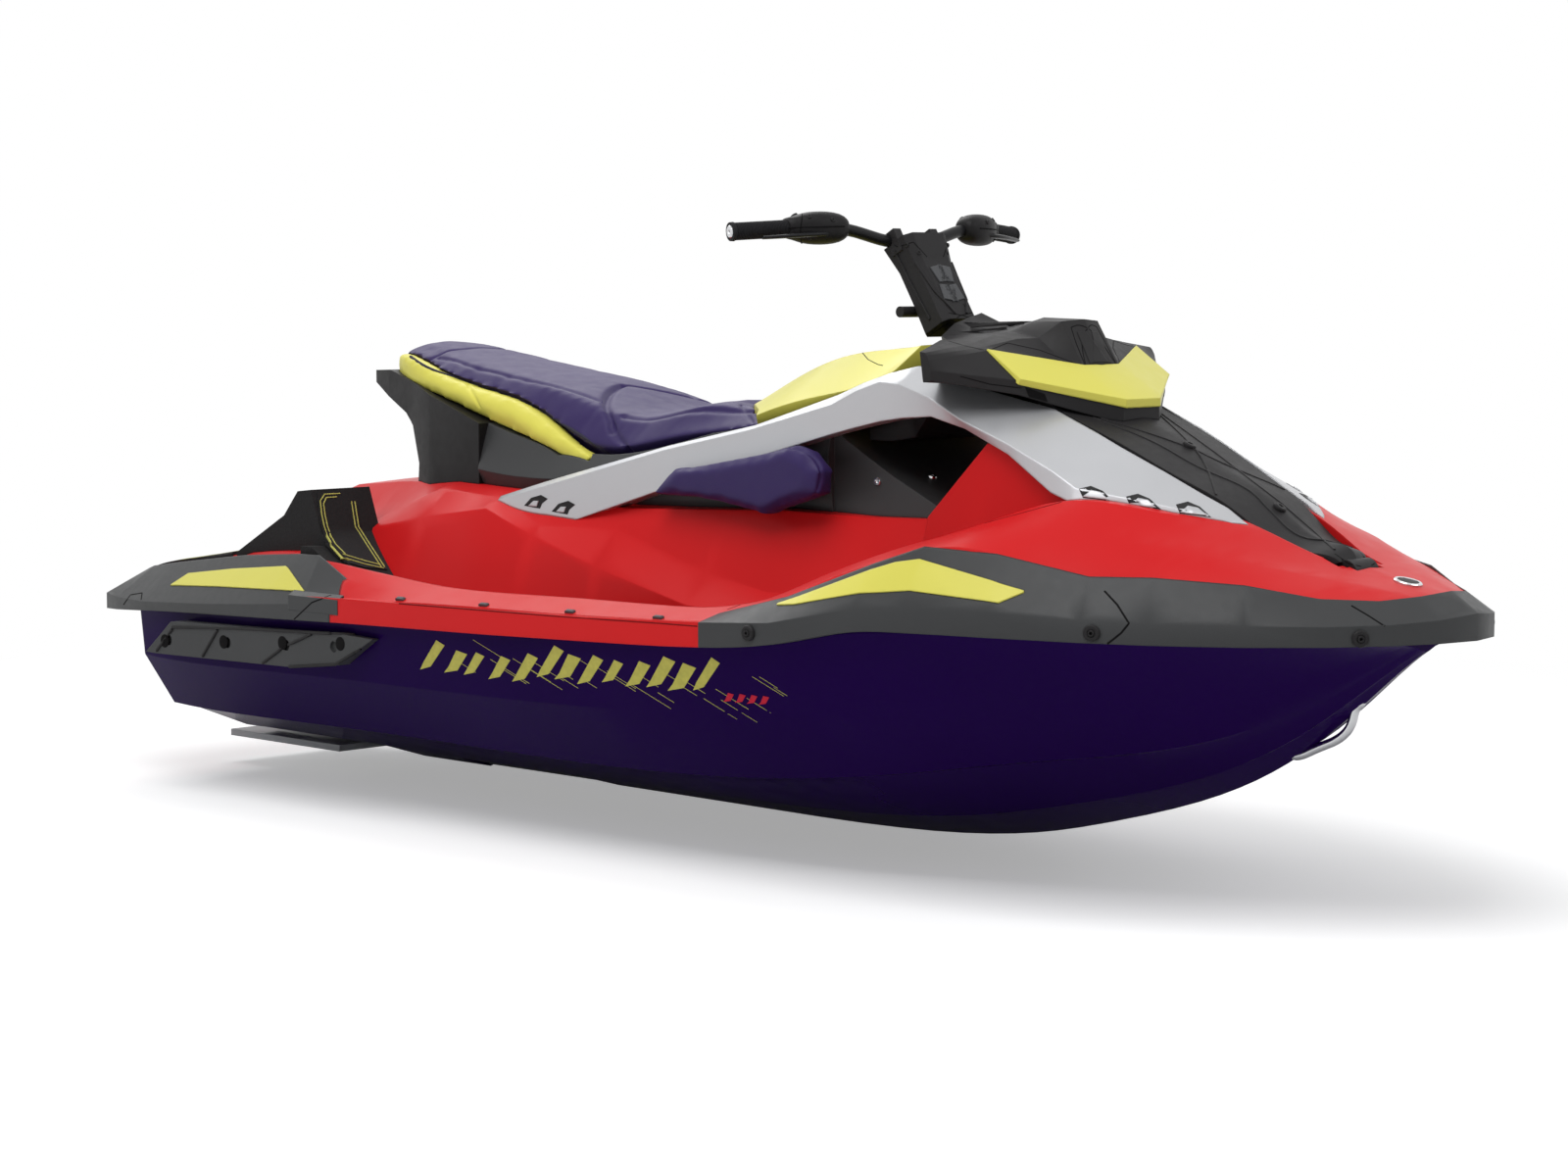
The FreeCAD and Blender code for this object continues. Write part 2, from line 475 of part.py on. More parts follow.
# The share of the shorter run that a bend takes, and the angles of the bucket's shell about its axis.
BEND_SHARE = 0.45
BUCKET_SECTOR = 80
BUCKET_START = 22
BLADE_PITCH = 35
CHAMFER_SHARE = 0.7


def place(along, out, up):
    """A point from its shares of the half length, the half beam and the bars' height."""
    return Vector(half_length * along, half_beam * out, tall * up)


def outline(points):
    """A closed outline through points."""
    return Part.makePolygon(list(points) + [points[0]])


def mirrored(points):
    """A half outline to port with its image to starboard, as one closed list of points."""
    image = [Vector(point.x, -point.y, point.z) for point in reversed(points) if abs(point.y) > 0]
    return list(points) + image


def station(row, whole=True, side=1):
    """One station's outline, mirrored about the centre plane or on one side only."""
    points = [place(row[0], side * out, up) for out, up in row[1:]]
    return outline(mirrored(points) if whole else points)


def skin(outlines, ruled=False):
    """A solid that runs through outlines, smoothly or in straight runs from one to the next."""
    return Part.makeLoft(outlines, True, ruled)


def run(rows, whole=True, side=1, ruled=False):
    """A solid through the stations of a table."""
    return skin([station(row, whole, side) for row in rows], ruled)


def side_views(rows):
    """A solid through side views, each at its distance from the centre plane, mirrored to starboard."""
    image = [(-row[0],) + row[1:] for row in reversed(rows) if row[0] > 0]
    outlines = []
    for out, *points in image + list(rows):
        outlines.append(outline([place(along, out, up) for along, up in points]))
    return skin(outlines, ruled=True)


def side_slab(rows, inner, outer):
    """A side view's outline between two distances from the centre plane."""
    points = [place(along, 0, up) + Vector(0, inner, 0) for along, up in rows]
    return Part.Face(outline(points)).extrude(Vector(0, outer - inner, 0))


def plan_slab(rows, low, high):
    """A plan's outline, mirrored about the centre plane, between two heights."""
    points = mirrored([place(along, out, 0) for along, out in rows])
    points = [point + Vector(0, 0, low) for point in points]
    return Part.Face(outline(points)).extrude(Vector(0, 0, high - low))


def block(low, high):
    """A box between two corners."""
    return Part.makeBox(high.x - low.x, high.y - low.y, high.z - low.z, low)


def rod(start, end, radius):
    """A round bar between two points."""
    return Part.makeCylinder(radius, (end - start).Length, start, end - start)


def bent_tube(points, radius):
    """A round bar along straight runs that tangent arcs join."""
    edges = []
    last = points[0]
    for before, corner, after in zip(points, points[1:], points[2:]):
        back, ahead = before - corner, after - corner
        reach = min(back.Length, ahead.Length) * BEND_SHARE
        back.normalize()
        ahead.normalize()
        start, end = corner + back * reach, corner + ahead * reach
        bisector = back + ahead
        half_turn = back.getAngle(ahead) / 2
        bisector.normalize()
        bend_radius = reach * math.tan(half_turn)
        centre = corner + bisector * (reach / math.cos(half_turn))
        middle = centre - bisector * bend_radius
        edges += [Part.makeLine(last, start), Part.Arc(start, middle, end).toShape()]
        last = end
    edges.append(Part.makeLine(last, points[-1]))
    heading = points[1] - points[0]
    ring = Part.Wire([Part.makeCircle(radius, points[0], heading)])
    return Part.Wire(edges).makePipeShell([ring], True, False)


def across(middle, length, radius):
    """A round bar along the beam with its middle at a point."""
    return rod(middle - Vector(0, length / 2, 0), middle + Vector(0, length / 2, 0), radius)


def form(name, shape):
    """Keeps a computed shape as an object of the document."""
    solids = shape.Solids
    feature = doc.addObject("Part::Feature", name)
    feature.Shape = solids[0] if len(solids) == 1 else Part.makeCompound(solids)
    return feature


def piece(name, feature):
    """Takes an object as a sub-part, lowered from the keel line to the waterline unless a box is placed so."""
    feature.Label = name
    if feature.TypeId != "Part::Box":
        feature.setExpression("Placement.Base.z", "-Sizes.draft")
    pieces.append(feature)


AFT = FreeCAD.Rotation(Vector(0, 1, 0), -90)
TO_PORT = FreeCAD.Rotation(Vector(1, 0, 0), -90)
UPWARD = FreeCAD.Rotation()


def bound(kind, name, turn, spot, **fields):
    """A primitive whose place and sizes are formulas of the sheet's cells, turned by a fixed rotation."""
    feature = doc.addObject(kind, name)
    feature.Placement = FreeCAD.Placement(Vector(), turn)
    for axis, formula in zip("xyz", spot):
        feature.setExpression("Placement.Base." + axis, formula)
    for field, formula in fields.items():
        feature.setExpression(field, formula)
    return feature


def union_of(name, parts):
    """The union of objects."""
    feature = doc.addObject("Part::MultiFuse", name)
    feature.Shapes = parts
    return feature


def cut_of(name, base, tool):
    """One object without another."""
    feature = doc.addObject("Part::Cut", name)
    feature.Base = base
    feature.Tool = tool
    return feature


def common_of(name, base, tool):
    """What two objects share."""
    feature = doc.addObject("Part::Common", name)
    feature.Base = base
    feature.Tool = tool
    return feature


def largest(shape):
    """The largest solid of a shape, without the slivers that a cut can leave."""
    return max(shape.Solids, key=lambda solid: solid.Volume)


def both_sides(shape):
    """A shape to port with its image to starboard, as {"left": ..., "right": ...}."""
    image = shape.mirror(Vector(0, 0, 0), Vector(0, 1, 0))
    return {"left": shape, "right": image}


def lofted_rail(rows):
    """A bumper through stations that follow the gunwale, with its sloped top."""
    outlines = []
    for along, out, low, high, inner_along, inner_out, top in rows:
        under = low - overhang_share
        outlines.append(outline([
            place(along, out, under), place(along, out, high),
            place(inner_along, inner_out, top), place(inner_along, inner_out, under),
        ]))
    return skin(outlines, ruled=True)


pieces = []
overhang_share = 0.03
wide = half_beam + beyond

# The regions below and above the line where hull and deck meet.
parting_points = [place(along, 0, up) - Vector(0, wide, 0) for along, up in PARTING_SHARES]
parting_curve = Part.BSplineCurve()
parting_curve.interpolate(parting_points)
floor_points = [Vector(point.x, point.y, -beyond) for point in (parting_points[-1], parting_points[0])]
parting_edges = [
    parting_curve.toShape(),
    Part.makeLine(parting_points[-1], floor_points[0]),
    Part.makeLine(floor_points[0], floor_points[1]),
    Part.makeLine(floor_points[1], parting_points[0]),
]
below = Part.Face(Part.Wire(parting_edges)).extrude(Vector(0, 2 * wide, 0))


def sides_of(row):
    """The starboard image of a bumper station."""
    along, out, low, high, inner_along, inner_out, top = row
    return (along, -out, low, high, inner_along, -inner_out, top)


bow_rows = [sides_of(row) for row in BOW_BUMPER_SHARES] + list(BOW_TIP_SHARES) + list(reversed(BOW_BUMPER_SHARES))
bow_bumper = lofted_rail(bow_rows).cut(below)
stern_bumpers = both_sides(lofted_rail(STERN_BUMPER_SHARES).cut(below))

# The deck with its rails and footwells.
deck_rows = []
for row in DECK_SHARES:
    out, up = row[-1]
    deck_rows.append(row + ((out, up - 4 * overhang_share),))
rail_sections = []
for along, out, low, high in RAIL_SHARES:
    inner = half_beam * out - size("rail_inset")
    foot, top = tall * (low - overhang_share), tall * high
    side_line = [Vector(half_length * along, y, z) for y, z in (
        (inner, foot), (half_beam * out, foot), (half_beam * out, top), (inner, top))]
    rail_sections.append(outline(side_line))
rails = both_sides(skin(rail_sections, ruled=True))

wall = size("deck_wall")
well_low = min(up for along, up in WELL_SIDE_SHARES)
well = side_slab(WELL_SIDE_SHARES, -wide, wide).common(plan_slab(WELL_PLAN_SHARES, 0, 2 * tall))
tub_side = [(along, up - wall / tall) for along, up in WELL_SIDE_SHARES]
tub_side[0] = (tub_side[0][0] - wall / half_length, tub_side[0][1])
tub_side[1] = (tub_side[1][0] - wall / half_length, tub_side[1][1])
tub_side[2] = (tub_side[2][0] - wall / half_length, tub_side[2][1])
tub_plan = [(along, out + wall / half_beam) for along, out in WELL_PLAN_SHARES]
tub_plan[0] = (tub_plan[0][0] - wall / half_length, tub_plan[0][1])
tub = side_slab(tub_side, -wide, wide).common(plan_slab(tub_plan, 0, 2 * tall))
deck = run(deck_rows).fuse([rails["left"], rails["right"]]).cut(below)
tub_body = tub.common(below)
deck = deck.fuse(tub_body).cut(well)

# The body under the seat with the bulkhead, standing in the footwells.
body = run(BODY_SHARES, ruled=True)
body_floor = tall * (well_low - wall / tall)
body_foot = block(Vector(-2 * half_length, -wide, -beyond), Vector(2 * half_length, wide, body_floor))
body = body.cut(body_foot)
body = body.cut(below).fuse(body.common(tub_body))
bulkhead_reach = half_beam * BULKHEAD_WIDTH_SHARE
bulkhead = side_slab(BULKHEAD_SHARES, -bulkhead_reach, bulkhead_reach)
body = body.fuse(bulkhead).cut(deck)

# The side arches, the hood's spine and the room that the hood needs.
arches = both_sides(run(ARCH_SHARES, whole=False, ruled=True))
thickness = size("hood_thickness")


def spine_section(row, spread, rise, drop):
    """The spine's outline at one station, widened, raised and deepened by given amounts."""
    along, half_width, up = row
    x, y, z = half_length * along, half_beam * half_width + spread, tall * up
    crown = tall * SPINE_CROWN_SHARE
    return outline(mirrored([
        Vector(x, 0, z + crown + rise), Vector(x, y, z + rise),
        Vector(x, y, z - thickness - drop), Vector(x, 0, z + crown - thickness - drop),
    ]))


spine = skin([spine_section(row, 0, 0, 0) for row in SPINE_SHARES])
hood_room = skin([spine_section(row, gap, 3 * beyond, gap) for row in SPINE_SHARES])
hinge = place(HINGE_SHARES[0], 0, HINGE_SHARES[1])
tip_radius = size("hood_tip_radius")
tip_width = size("hood_tip_width")
tip = across(hinge, tip_width, tip_radius)
tip_bore = across(hinge, tip_width + beyond, size("hinge_radius") + size("running_gap"))
pin_length = size("pin_length")
hinge_pin = across(hinge, pin_length, size("hinge_radius"))
tip_room = across(hinge, tip_width + 2 * gap, tip_radius + gap)
tip_room = tip_room.fuse(block(
    Vector(hinge.x - 2 * beyond, -tip_width / 2 - gap, hinge.z),
    Vector(hinge.x, tip_width / 2 + gap, hinge.z + tip_radius + gap),
))
hinge_lugs = across(hinge, pin_length, size("hinge_seat"))
swing_radius = 1.5 * tip_radius
aft_row, tip_row = SPINE_SHARES[-2:]
flare = half_beam * (aft_row[1] - tip_row[1]) / (half_length * (tip_row[0] - aft_row[0]))
swing_width = 2 * (half_beam * tip_row[1] + flare * swing_radius + gap)
spine_swing = across(hinge, swing_width, swing_radius).cut(across(hinge, swing_width, size("hinge_seat")))
spine_swing = spine_swing.common(block(
    hinge - Vector(swing_radius, swing_width / 2, 0),
    hinge + Vector(size("hinge_seat"), swing_width / 2, swing_radius),
))
lug_room = across(hinge, pin_length + beyond, size("hinge_seat") + gap).cut(tip)
hinge_lugs = hinge_lugs.fuse(block(
    hinge - Vector(size("hinge_seat"), pin_length / 2, 2 * tip_radius),
    hinge + Vector(size("hinge_seat"), pin_length / 2, 0),
))
spine = spine.cut(block(Vector(hinge.x, -wide, 0), Vector(hinge.x + beyond, wide, 2 * tall)))
spine = spine.cut(lug_room).fuse(tip).cut(tip_bore)

nose = side_views(NOSE_SHARES).cut(spine)
cowl = side_views(COWL_SHARES).cut(spine).cut(nose)
below_cowl = side_views(COWL_SHARES)
below_cowl.translate(Vector(0, 0, -gap))
below_nose = side_views(NOSE_SHARES)
below_nose.translate(Vector(0, 0, -gap))

# Steering.
foot = place(COLUMN_FOOT_SHARES[0], 0, COLUMN_FOOT_SHARES[1])
lean = math.radians(size("column_lean"))
up_axis = Vector(-math.sin(lean), 0, math.cos(lean))
forward_axis = Vector(math.cos(lean), 0, math.sin(lean))
column_half = size("column_width") / 2
column_deep = size("column_depth") / 2
column_long = size("column_length")


def column_section(rise, half_width, half_depth):
    """The column's outline across its axis at a distance from its foot."""
    middle = foot + up_axis * rise
    flat = CHAMFER_SHARE
    corners = ((-1, -flat), (-flat, -1), (flat, -1), (1, -flat), (1, flat), (flat, 1), (-flat, 1), (-1, flat))
    return outline([middle + forward_axis * (half_depth * a) + Vector(0, half_width * b, 0) for a, b in corners])


column = skin([
    column_section(0, 0.80 * column_half, 0.90 * column_deep),
    column_section(0.35 * column_long, 0.80 * column_half, 0.85 * column_deep),
    column_section(0.70 * column_long, 0.85 * column_half, 0.80 * column_deep),
    column_section(column_long, column_half, column_deep),
], ruled=True)
lug = across(place(LUG_SHARES[0], 0, LUG_SHARES[2]), 2 * half_beam * LUG_SHARES[1], size("lug_radius"))
spindle = rod(foot - up_axis * size("spindle_length"), foot + up_axis * gap, size("spindle_radius"))
horns = []
for side in (-1, 1):
    horn = Part.makeBox(0.7 * column_deep, 0.34 * column_half, 1.2 * column_deep)
    horn.translate(Vector(-0.35 * column_deep, -0.17 * column_half, -0.6 * column_deep))
    horn.rotate(Vector(0, 0, 0), Vector(0, 1, 0), -size("column_lean"))
    horn.translate(foot + up_axis * column_long + Vector(0, side * 0.83 * column_half, 0))
    horns.append(horn)

bar_points = [place(*share) for share in BAR_SHARES]
bar_points = [Vector(p.x, -p.y, p.z) for p in reversed(bar_points[1:])] + bar_points
bar_radius = size("bar_radius")
handlebar = bent_tube(bar_points, bar_radius)
bar_end, bar_bend = bar_points[-1], bar_points[-2]
grip_line = bar_bend - bar_end
grip_line.normalize()
grip_bore = rod(bar_end - grip_line * beyond, bar_end + grip_line * (size("grip_length") + beyond), bar_radius)
grip_end = bar_end - grip_line * bar_radius / 2
grip = rod(grip_end, bar_end + grip_line * size("grip_length"), size("grip_radius"))
grips = both_sides(grip.cut(handlebar))
pod_low = place(BAR_SHARES[2][0], POD_START_SHARE, BAR_SHARES[2][2])
half_pod = size("pod_size") / 2
pod_middle = bar_points[-2].x * 0.5 + bar_points[-3].x * 0.5
pod = block(
    Vector(pod_middle - half_pod, pod_low.y, pod_low.z - half_pod),
    Vector(pod_middle + half_pod, pod_low.y + size("pod_length"), pod_low.z + half_pod),
)
pod = pod.makeFillet(half_pod / 2, pod.Edges)
pods = both_sides(pod.cut(handlebar).cut(grip))
column = largest(column.fuse(horns + [spindle, lug]).cut(handlebar))
spindle_bore = rod(
    foot - up_axis * (size("spindle_length") + gap), foot + up_axis * beyond,
    size("spindle_radius") + size("running_gap"),
)

# Seat, its panels, nose cover and the black pieces below them.
cushion = run(CUSHION_SHARES)
panels = both_sides(run(SEAT_PANEL_SHARES, whole=False))
cushion = cushion.cut(panels["left"]).cut(panels["right"]).cut(arches["left"]).cut(arches["right"])
nose_region = plan_slab(SEAM_SHARES, 0, 2 * tall)
cushion = largest(cushion.cut(nose_region))
seat_nose = run(SEAT_NOSE_SHARES).common(nose_region).cut(arches["left"]).cut(arches["right"]).cut(cushion).cut(below_cowl)
column_side = column_half + size("column_room")
column_notch = block(
    Vector(foot.x - column_deep - size("column_room") / 2, -column_side, 0),
    Vector(foot.x + 2 * beyond, column_side, 2 * tall),
)
seat_nose = largest(seat_nose.cut(column_notch))
tail_rise = plan_slab(TAIL_PLAN_SHARES, 0, 2 * tall)
hand_points = [place(along, out, 0) for along, out in HAND_GAP_SHARES]
hand_slot = Part.Face(outline(mirrored(hand_points))).extrude(Vector(0, 0, 2 * tall))
tail = side_slab(TAIL_SIDE_SHARES, -wide, wide).common(tail_rise).cut(hand_slot)
tail = largest(tail.cut(cushion).cut(panels["left"]).cut(panels["right"]).cut(deck).cut(body))
knee_reach = half_beam * KNEE_SLOPE_WIDTH_SHARE
seat_base = run(SEAT_BASE_SHARES).fuse(side_slab(KNEE_SLOPE_SHARES, -knee_reach, knee_reach))
bridge_reach = half_beam * BRIDGE_WIDTH_SHARE
bridge = side_slab(BRIDGE_SHARES, -bridge_reach, bridge_reach)
for other in (cushion, panels["left"], panels["right"], seat_nose, arches["left"], arches["right"], body, tail):
    seat_base = seat_base.cut(other)
seat_base = largest(seat_base)
for other in (seat_nose, arches["left"], arches["right"], seat_base, hood_room, below_cowl, below_nose, spindle_bore):
    bridge = bridge.cut(other)
bridge = largest(bridge)

# Chocks, knee pads, sponsons, mats and inserts.
chock = side_slab(CHOCK_SHARES, half_beam * CHOCK_SIDE_SHARES[0], half_beam * CHOCK_SIDE_SHARES[1])
chock_foot = side_slab(CHOCK_FOOT_SHARES, half_beam * CHOCK_SIDE_SHARES[0], half_beam * CHOCK_SIDE_SHARES[2])
chock = chock.fuse(chock_foot)
chocks = both_sides(largest(chock.cut(deck).cut(body).cut(stern_bumpers["left"])))
pad_outer = half_beam * ARCH_SHARES[3][3][0] + 0.6 * size("pad_depth")
pad = side_slab(KNEE_PAD_SHARES, pad_outer - size("pad_depth"), pad_outer)
pads = both_sides(largest(pad.cut(arches["left"]).cut(body).cut(seat_base)))

# The hull with its pump tunnel, intake duct and engine room.
pump_height = size("pump_axis_height")
pump_front = size("pump_front")
bore = size("pump_bore_radius")
tunnel_half = size("pump_outer") + size("tunnel_clearance")
plate_top = size("ride_plate_clearance") + size("ride_plate_thickness")
plate_half = size("ride_plate_width") / 2
hull_rear = half_length * HULL_SHARES[0][0]
tunnel = block(
    Vector(hull_rear - beyond, -tunnel_half, -beyond),
    Vector(pump_front, tunnel_half, pump_height + tunnel_half),
)
plate_room = block(
    Vector(hull_rear - beyond, -plate_half, -beyond), Vector(size("plate_front"), plate_half, plate_top))
duct_half = bore - size("running_gap")
duct = side_slab(DUCT_SHARES, -duct_half, duct_half)
engine_middle = size("engine_middle")
engine_floor = size("engine_floor")
room = size("engine_room")
half_engine_long, half_engine_wide = size("engine_length") / 2, size("engine_width") / 2
engine_bay = block(
    Vector(engine_middle - half_engine_long - room, -half_engine_wide - room, engine_floor),
    Vector(engine_middle + half_engine_long + room, half_engine_wide + room,
           engine_floor + size("engine_tall") + room),
)
shaft_radius = size("shaft_radius")
shaft_front = Vector(engine_middle - half_engine_long - gap, 0, pump_height)
shaft_bore = rod(
    Vector(pump_front - beyond, 0, pump_height), Vector(shaft_front.x + room, 0, pump_height),
    shaft_radius + size("running_gap"),
)
half_bin_long, half_bin_wide = size("bin_length") / 2, size("bin_width") / 2
bin_room = block(
    Vector(size("bin_middle") - half_bin_long, -half_bin_wide, size("bin_top") - size("bin_depth")),
    Vector(size("bin_middle") + half_bin_long, half_bin_wide, size("bin_top") + 2 * beyond),
)

hull = run([row + ((row[-1][0], row[-1][1] + 3 * overhang_share),) for row in HULL_SHARES])
hull = hull.common(below).cut(tub).cut(tunnel).cut(plate_room).cut(duct).cut(engine_bay).cut(shaft_bore)
hull = hull.cut(bin_room)

deck = deck.cut(bow_bumper).cut(stern_bumpers["left"]).cut(stern_bumpers["right"])
hood_room = hood_room.fuse([tip_room, spine_swing])
deck = deck.cut(hood_room).fuse(hinge_lugs.cut(tip_room).cut(below)).cut(bow_bumper)
deck = largest(deck.cut(bin_room).cut(engine_bay).cut(hinge_pin))
body = largest(body.cut(hood_room).cut(bin_room).cut(engine_bay))
for side, shape in arches.items():
    arches[side] = largest(shape.cut(hood_room).cut(deck).cut(body).cut(below_cowl).cut(below_nose))

sponson_outer = half_beam * HULL_SHARES[1][-1][0] + size("sponson_depth") / 3
sponson = side_slab(SPONSON_SHARES, sponson_outer - size("sponson_depth"), sponson_outer)
for along, up in SPONSON_BOLT_SHARES:
    middle = place(along, 0, up) + Vector(0, sponson_outer, 0)
    sponson = sponson.cut(across(middle, size("sponson_bolt_radius"), size("sponson_bolt_radius")))
sponsons = both_sides(largest(sponson.cut(hull)))


def slope_at(rows, along):
    """The lower and the upper edge of a bumper's slope at a distance along its outer edge."""
    for before, after in zip(rows, rows[1:]):
        if before[0] <= along < after[0]:
            share = (along - before[0]) / (after[0] - before[0])
            row = [start + (end - start) * share for start, end in zip(before, after)]
            return place(row[0], row[1], row[3]), place(row[4], row[5], row[6])


def strip(rows, carrier_rows):
    """A strip let into a bumper's slope, proud of it by the rise, given at stations along it."""
    outlines = []
    for along, low_share, high_share in rows:
        lower, upper = slope_at(carrier_rows, along)
        slope = upper - lower
        outward = Vector(0, slope.z, -slope.y)
        outward.normalize()
        rise, depth = outward * size("insert_rise"), outward * size("insert_depth")
        low, high = lower + slope * low_share, lower + slope * high_share
        outlines.append(outline([low + rise, high + rise, high - depth, low - depth]))
    return skin(outlines, ruled=True)


bow_inserts = both_sides(strip(BOW_INSERT_SHARES, BOW_BUMPER_SHARES))
stern_inserts = both_sides(strip(STERN_INSERT_SHARES, STERN_BUMPER_SHARES))
for side in ("left", "right"):
    bow_bumper = bow_bumper.cut(bow_inserts[side])
    deck = deck.cut(bow_inserts[side]).cut(stern_inserts[side])
    stern_bumpers[side] = stern_bumpers[side].cut(stern_inserts[side])
    stern_inserts[side] = stern_inserts[side].cut(chocks[side])

# The mats on the footwells' floors and on the platform.
mat = size("mat_thickness")
foot_mat = Part.Face(outline([place(along, out, well_low) for along, out in FOOT_MAT_SHARES]))
foot_mat = foot_mat.extrude(Vector(0, 0, mat)).cut(deck).cut(body)
foot_mats = both_sides(largest(foot_mat))
platform_mat = run(deck_rows)
platform_mat.translate(Vector(0, 0, mat))
platform_mat = platform_mat.common(plan_slab(PLATFORM_SHARES, 0, 2 * tall))
for other in (deck, body, below, chocks["left"], chocks["right"], stern_bumpers["left"], stern_bumpers["right"]):
    platform_mat = platform_mat.cut(other)
platform_mat = largest(platform_mat)

# The jet pump's housing: barrel, taper, spout, stator with its vanes and the ears of the nozzle's pivot.
on_axis = ["Sizes.pump_axis_height"]
housing_runs = [
    bound("Part::Cylinder", "pump_barrel", AFT, ["Sizes.pump_front", "0"] + on_axis,
          Radius="Sizes.pump_outer", Height="Sizes.pump_front - Sizes.pump_rear"),
    bound("Part::Cone", "pump_taper", AFT, ["Sizes.pump_rear", "0"] + on_axis,
          Radius1="Sizes.pump_outer", Radius2="Sizes.spout_outer", Height="Sizes.taper_length"),
    bound("Part::Cylinder", "pump_spout", AFT, ["Sizes.outlet_rear + Sizes.spout_length", "0"] + on_axis,
          Radius="Sizes.spout_outer", Height="Sizes.spout_length"),
]
housing_bores = [
    bound("Part::Cylinder", "barrel_bore", AFT, ["Sizes.pump_front", "0"] + on_axis,
          Radius="Sizes.pump_bore_radius", Height="Sizes.pump_front - Sizes.pump_rear"),
    bound("Part::Cone", "taper_bore", AFT, ["Sizes.pump_rear", "0"] + on_axis,
          Radius1="Sizes.pump_bore_radius", Radius2="Sizes.spout_bore", Height="Sizes.taper_length"),
    bound("Part::Cylinder", "spout_hole", AFT,
          ["Sizes.outlet_rear + Sizes.spout_length + Sizes.nozzle_wall / 2", "0"] + on_axis,
          Radius="Sizes.spout_bore", Height="Sizes.spout_length + Sizes.overrun"),
]
housing_shell = cut_of(
    "housing_shell", union_of("housing_runs", housing_runs), union_of("housing_bores", housing_bores))
housing_parts = [housing_shell, bound(
    "Part::Cone", "stator", AFT, ["Sizes.stator_front", "0"] + on_axis, Radius1="Sizes.hub_radius",
    Radius2="0.4 * Sizes.hub_radius", Height="Sizes.stator_length + (Sizes.pump_rear - Sizes.outlet_rear) / 2")]
for turn in (0, 120, 240):
    housing_parts.append(bound(
        "Part::Box", "vane", FreeCAD.Rotation(Vector(1, 0, 0), turn), [
            "Sizes.pump_rear + Sizes.nozzle_wall",
            "-Sizes.blade_thickness / 2 * cos(%d deg)" % turn,
            "Sizes.pump_axis_height - Sizes.blade_thickness / 2 * sin(%d deg)" % turn,
        ], Length="0.8 * Sizes.stator_length - Sizes.nozzle_wall", Width="Sizes.blade_thickness",
        Height="Sizes.pump_bore_radius + Sizes.nozzle_wall / 2"))
for low in ("Sizes.ear_height", "-Sizes.ear_height - 2 * Sizes.nozzle_wall"):
    housing_parts.append(bound(
        "Part::Box", "ear", UPWARD,
        ["Sizes.pivot_place - 2 * Sizes.pivot_radius", "-2 * Sizes.pivot_radius", "Sizes.pump_axis_height + " + low],
        Length="Sizes.pump_rear - Sizes.pivot_place + 2 * Sizes.pivot_radius", Width="4 * Sizes.pivot_radius",
        Height="2 * Sizes.nozzle_wall"))
pivot_foot = "Sizes.pump_axis_height - Sizes.ear_height - 3 * Sizes.nozzle_wall"
pivot_bore = bound(
    "Part::Cylinder", "pivot_bore", UPWARD, ["Sizes.pivot_place", "0", pivot_foot],
    Radius="Sizes.pivot_radius + Sizes.running_gap", Height="2 * Sizes.ear_height + 6 * Sizes.nozzle_wall")
shaft_bearing = bound(
    "Part::Cylinder", "shaft_bearing", AFT, ["Sizes.stator_front + Sizes.moving_gap", "0"] + on_axis,
    Radius="Sizes.shaft_radius + Sizes.running_gap", Height="0.5 * Sizes.stator_length + Sizes.moving_gap")
housing = cut_of(
    "pump_housing", union_of("housing_parts", housing_parts), union_of("bearings", [pivot_bore, shaft_bearing]))


def tube(start, length, radius):
    """A round bar that runs aft on the pump's axis."""
    return Part.makeCylinder(radius, length, Vector(start, 0, pump_height), Vector(-1, 0, 0))


# The impeller on its shaft.
hub = size("hub_radius")
stator_front = size("stator_front")
stator_long = size("stator_length")
blade_tip = bore - gap
blade_thick = size("blade_thickness")
impeller_rear = stator_front + gap
impeller_long = 0.875 * stator_long
impeller = tube(impeller_rear + impeller_long, impeller_long, hub)
for turn in (0, 120, 240):
    blade = Part.makeBox(
        0.9 * impeller_long, blade_thick, blade_tip - hub / 2,
        Vector(-0.45 * impeller_long, -blade_thick / 2, hub / 2),
    )
    blade.rotate(Vector(0, 0, 0), Vector(0, 0, 1), BLADE_PITCH)
    blade.rotate(Vector(0, 0, 0), Vector(1, 0, 0), turn)
    blade.translate(Vector(impeller_rear + impeller_long / 2, 0, pump_height))
    impeller = impeller.fuse(blade.common(tube(impeller_rear + impeller_long, impeller_long, blade_tip)))
shaft = rod(
    Vector(stator_front - stator_long / 2 + gap, 0, pump_height), shaft_front - Vector(gap, 0, 0), shaft_radius)
impeller = impeller.fuse(shaft)

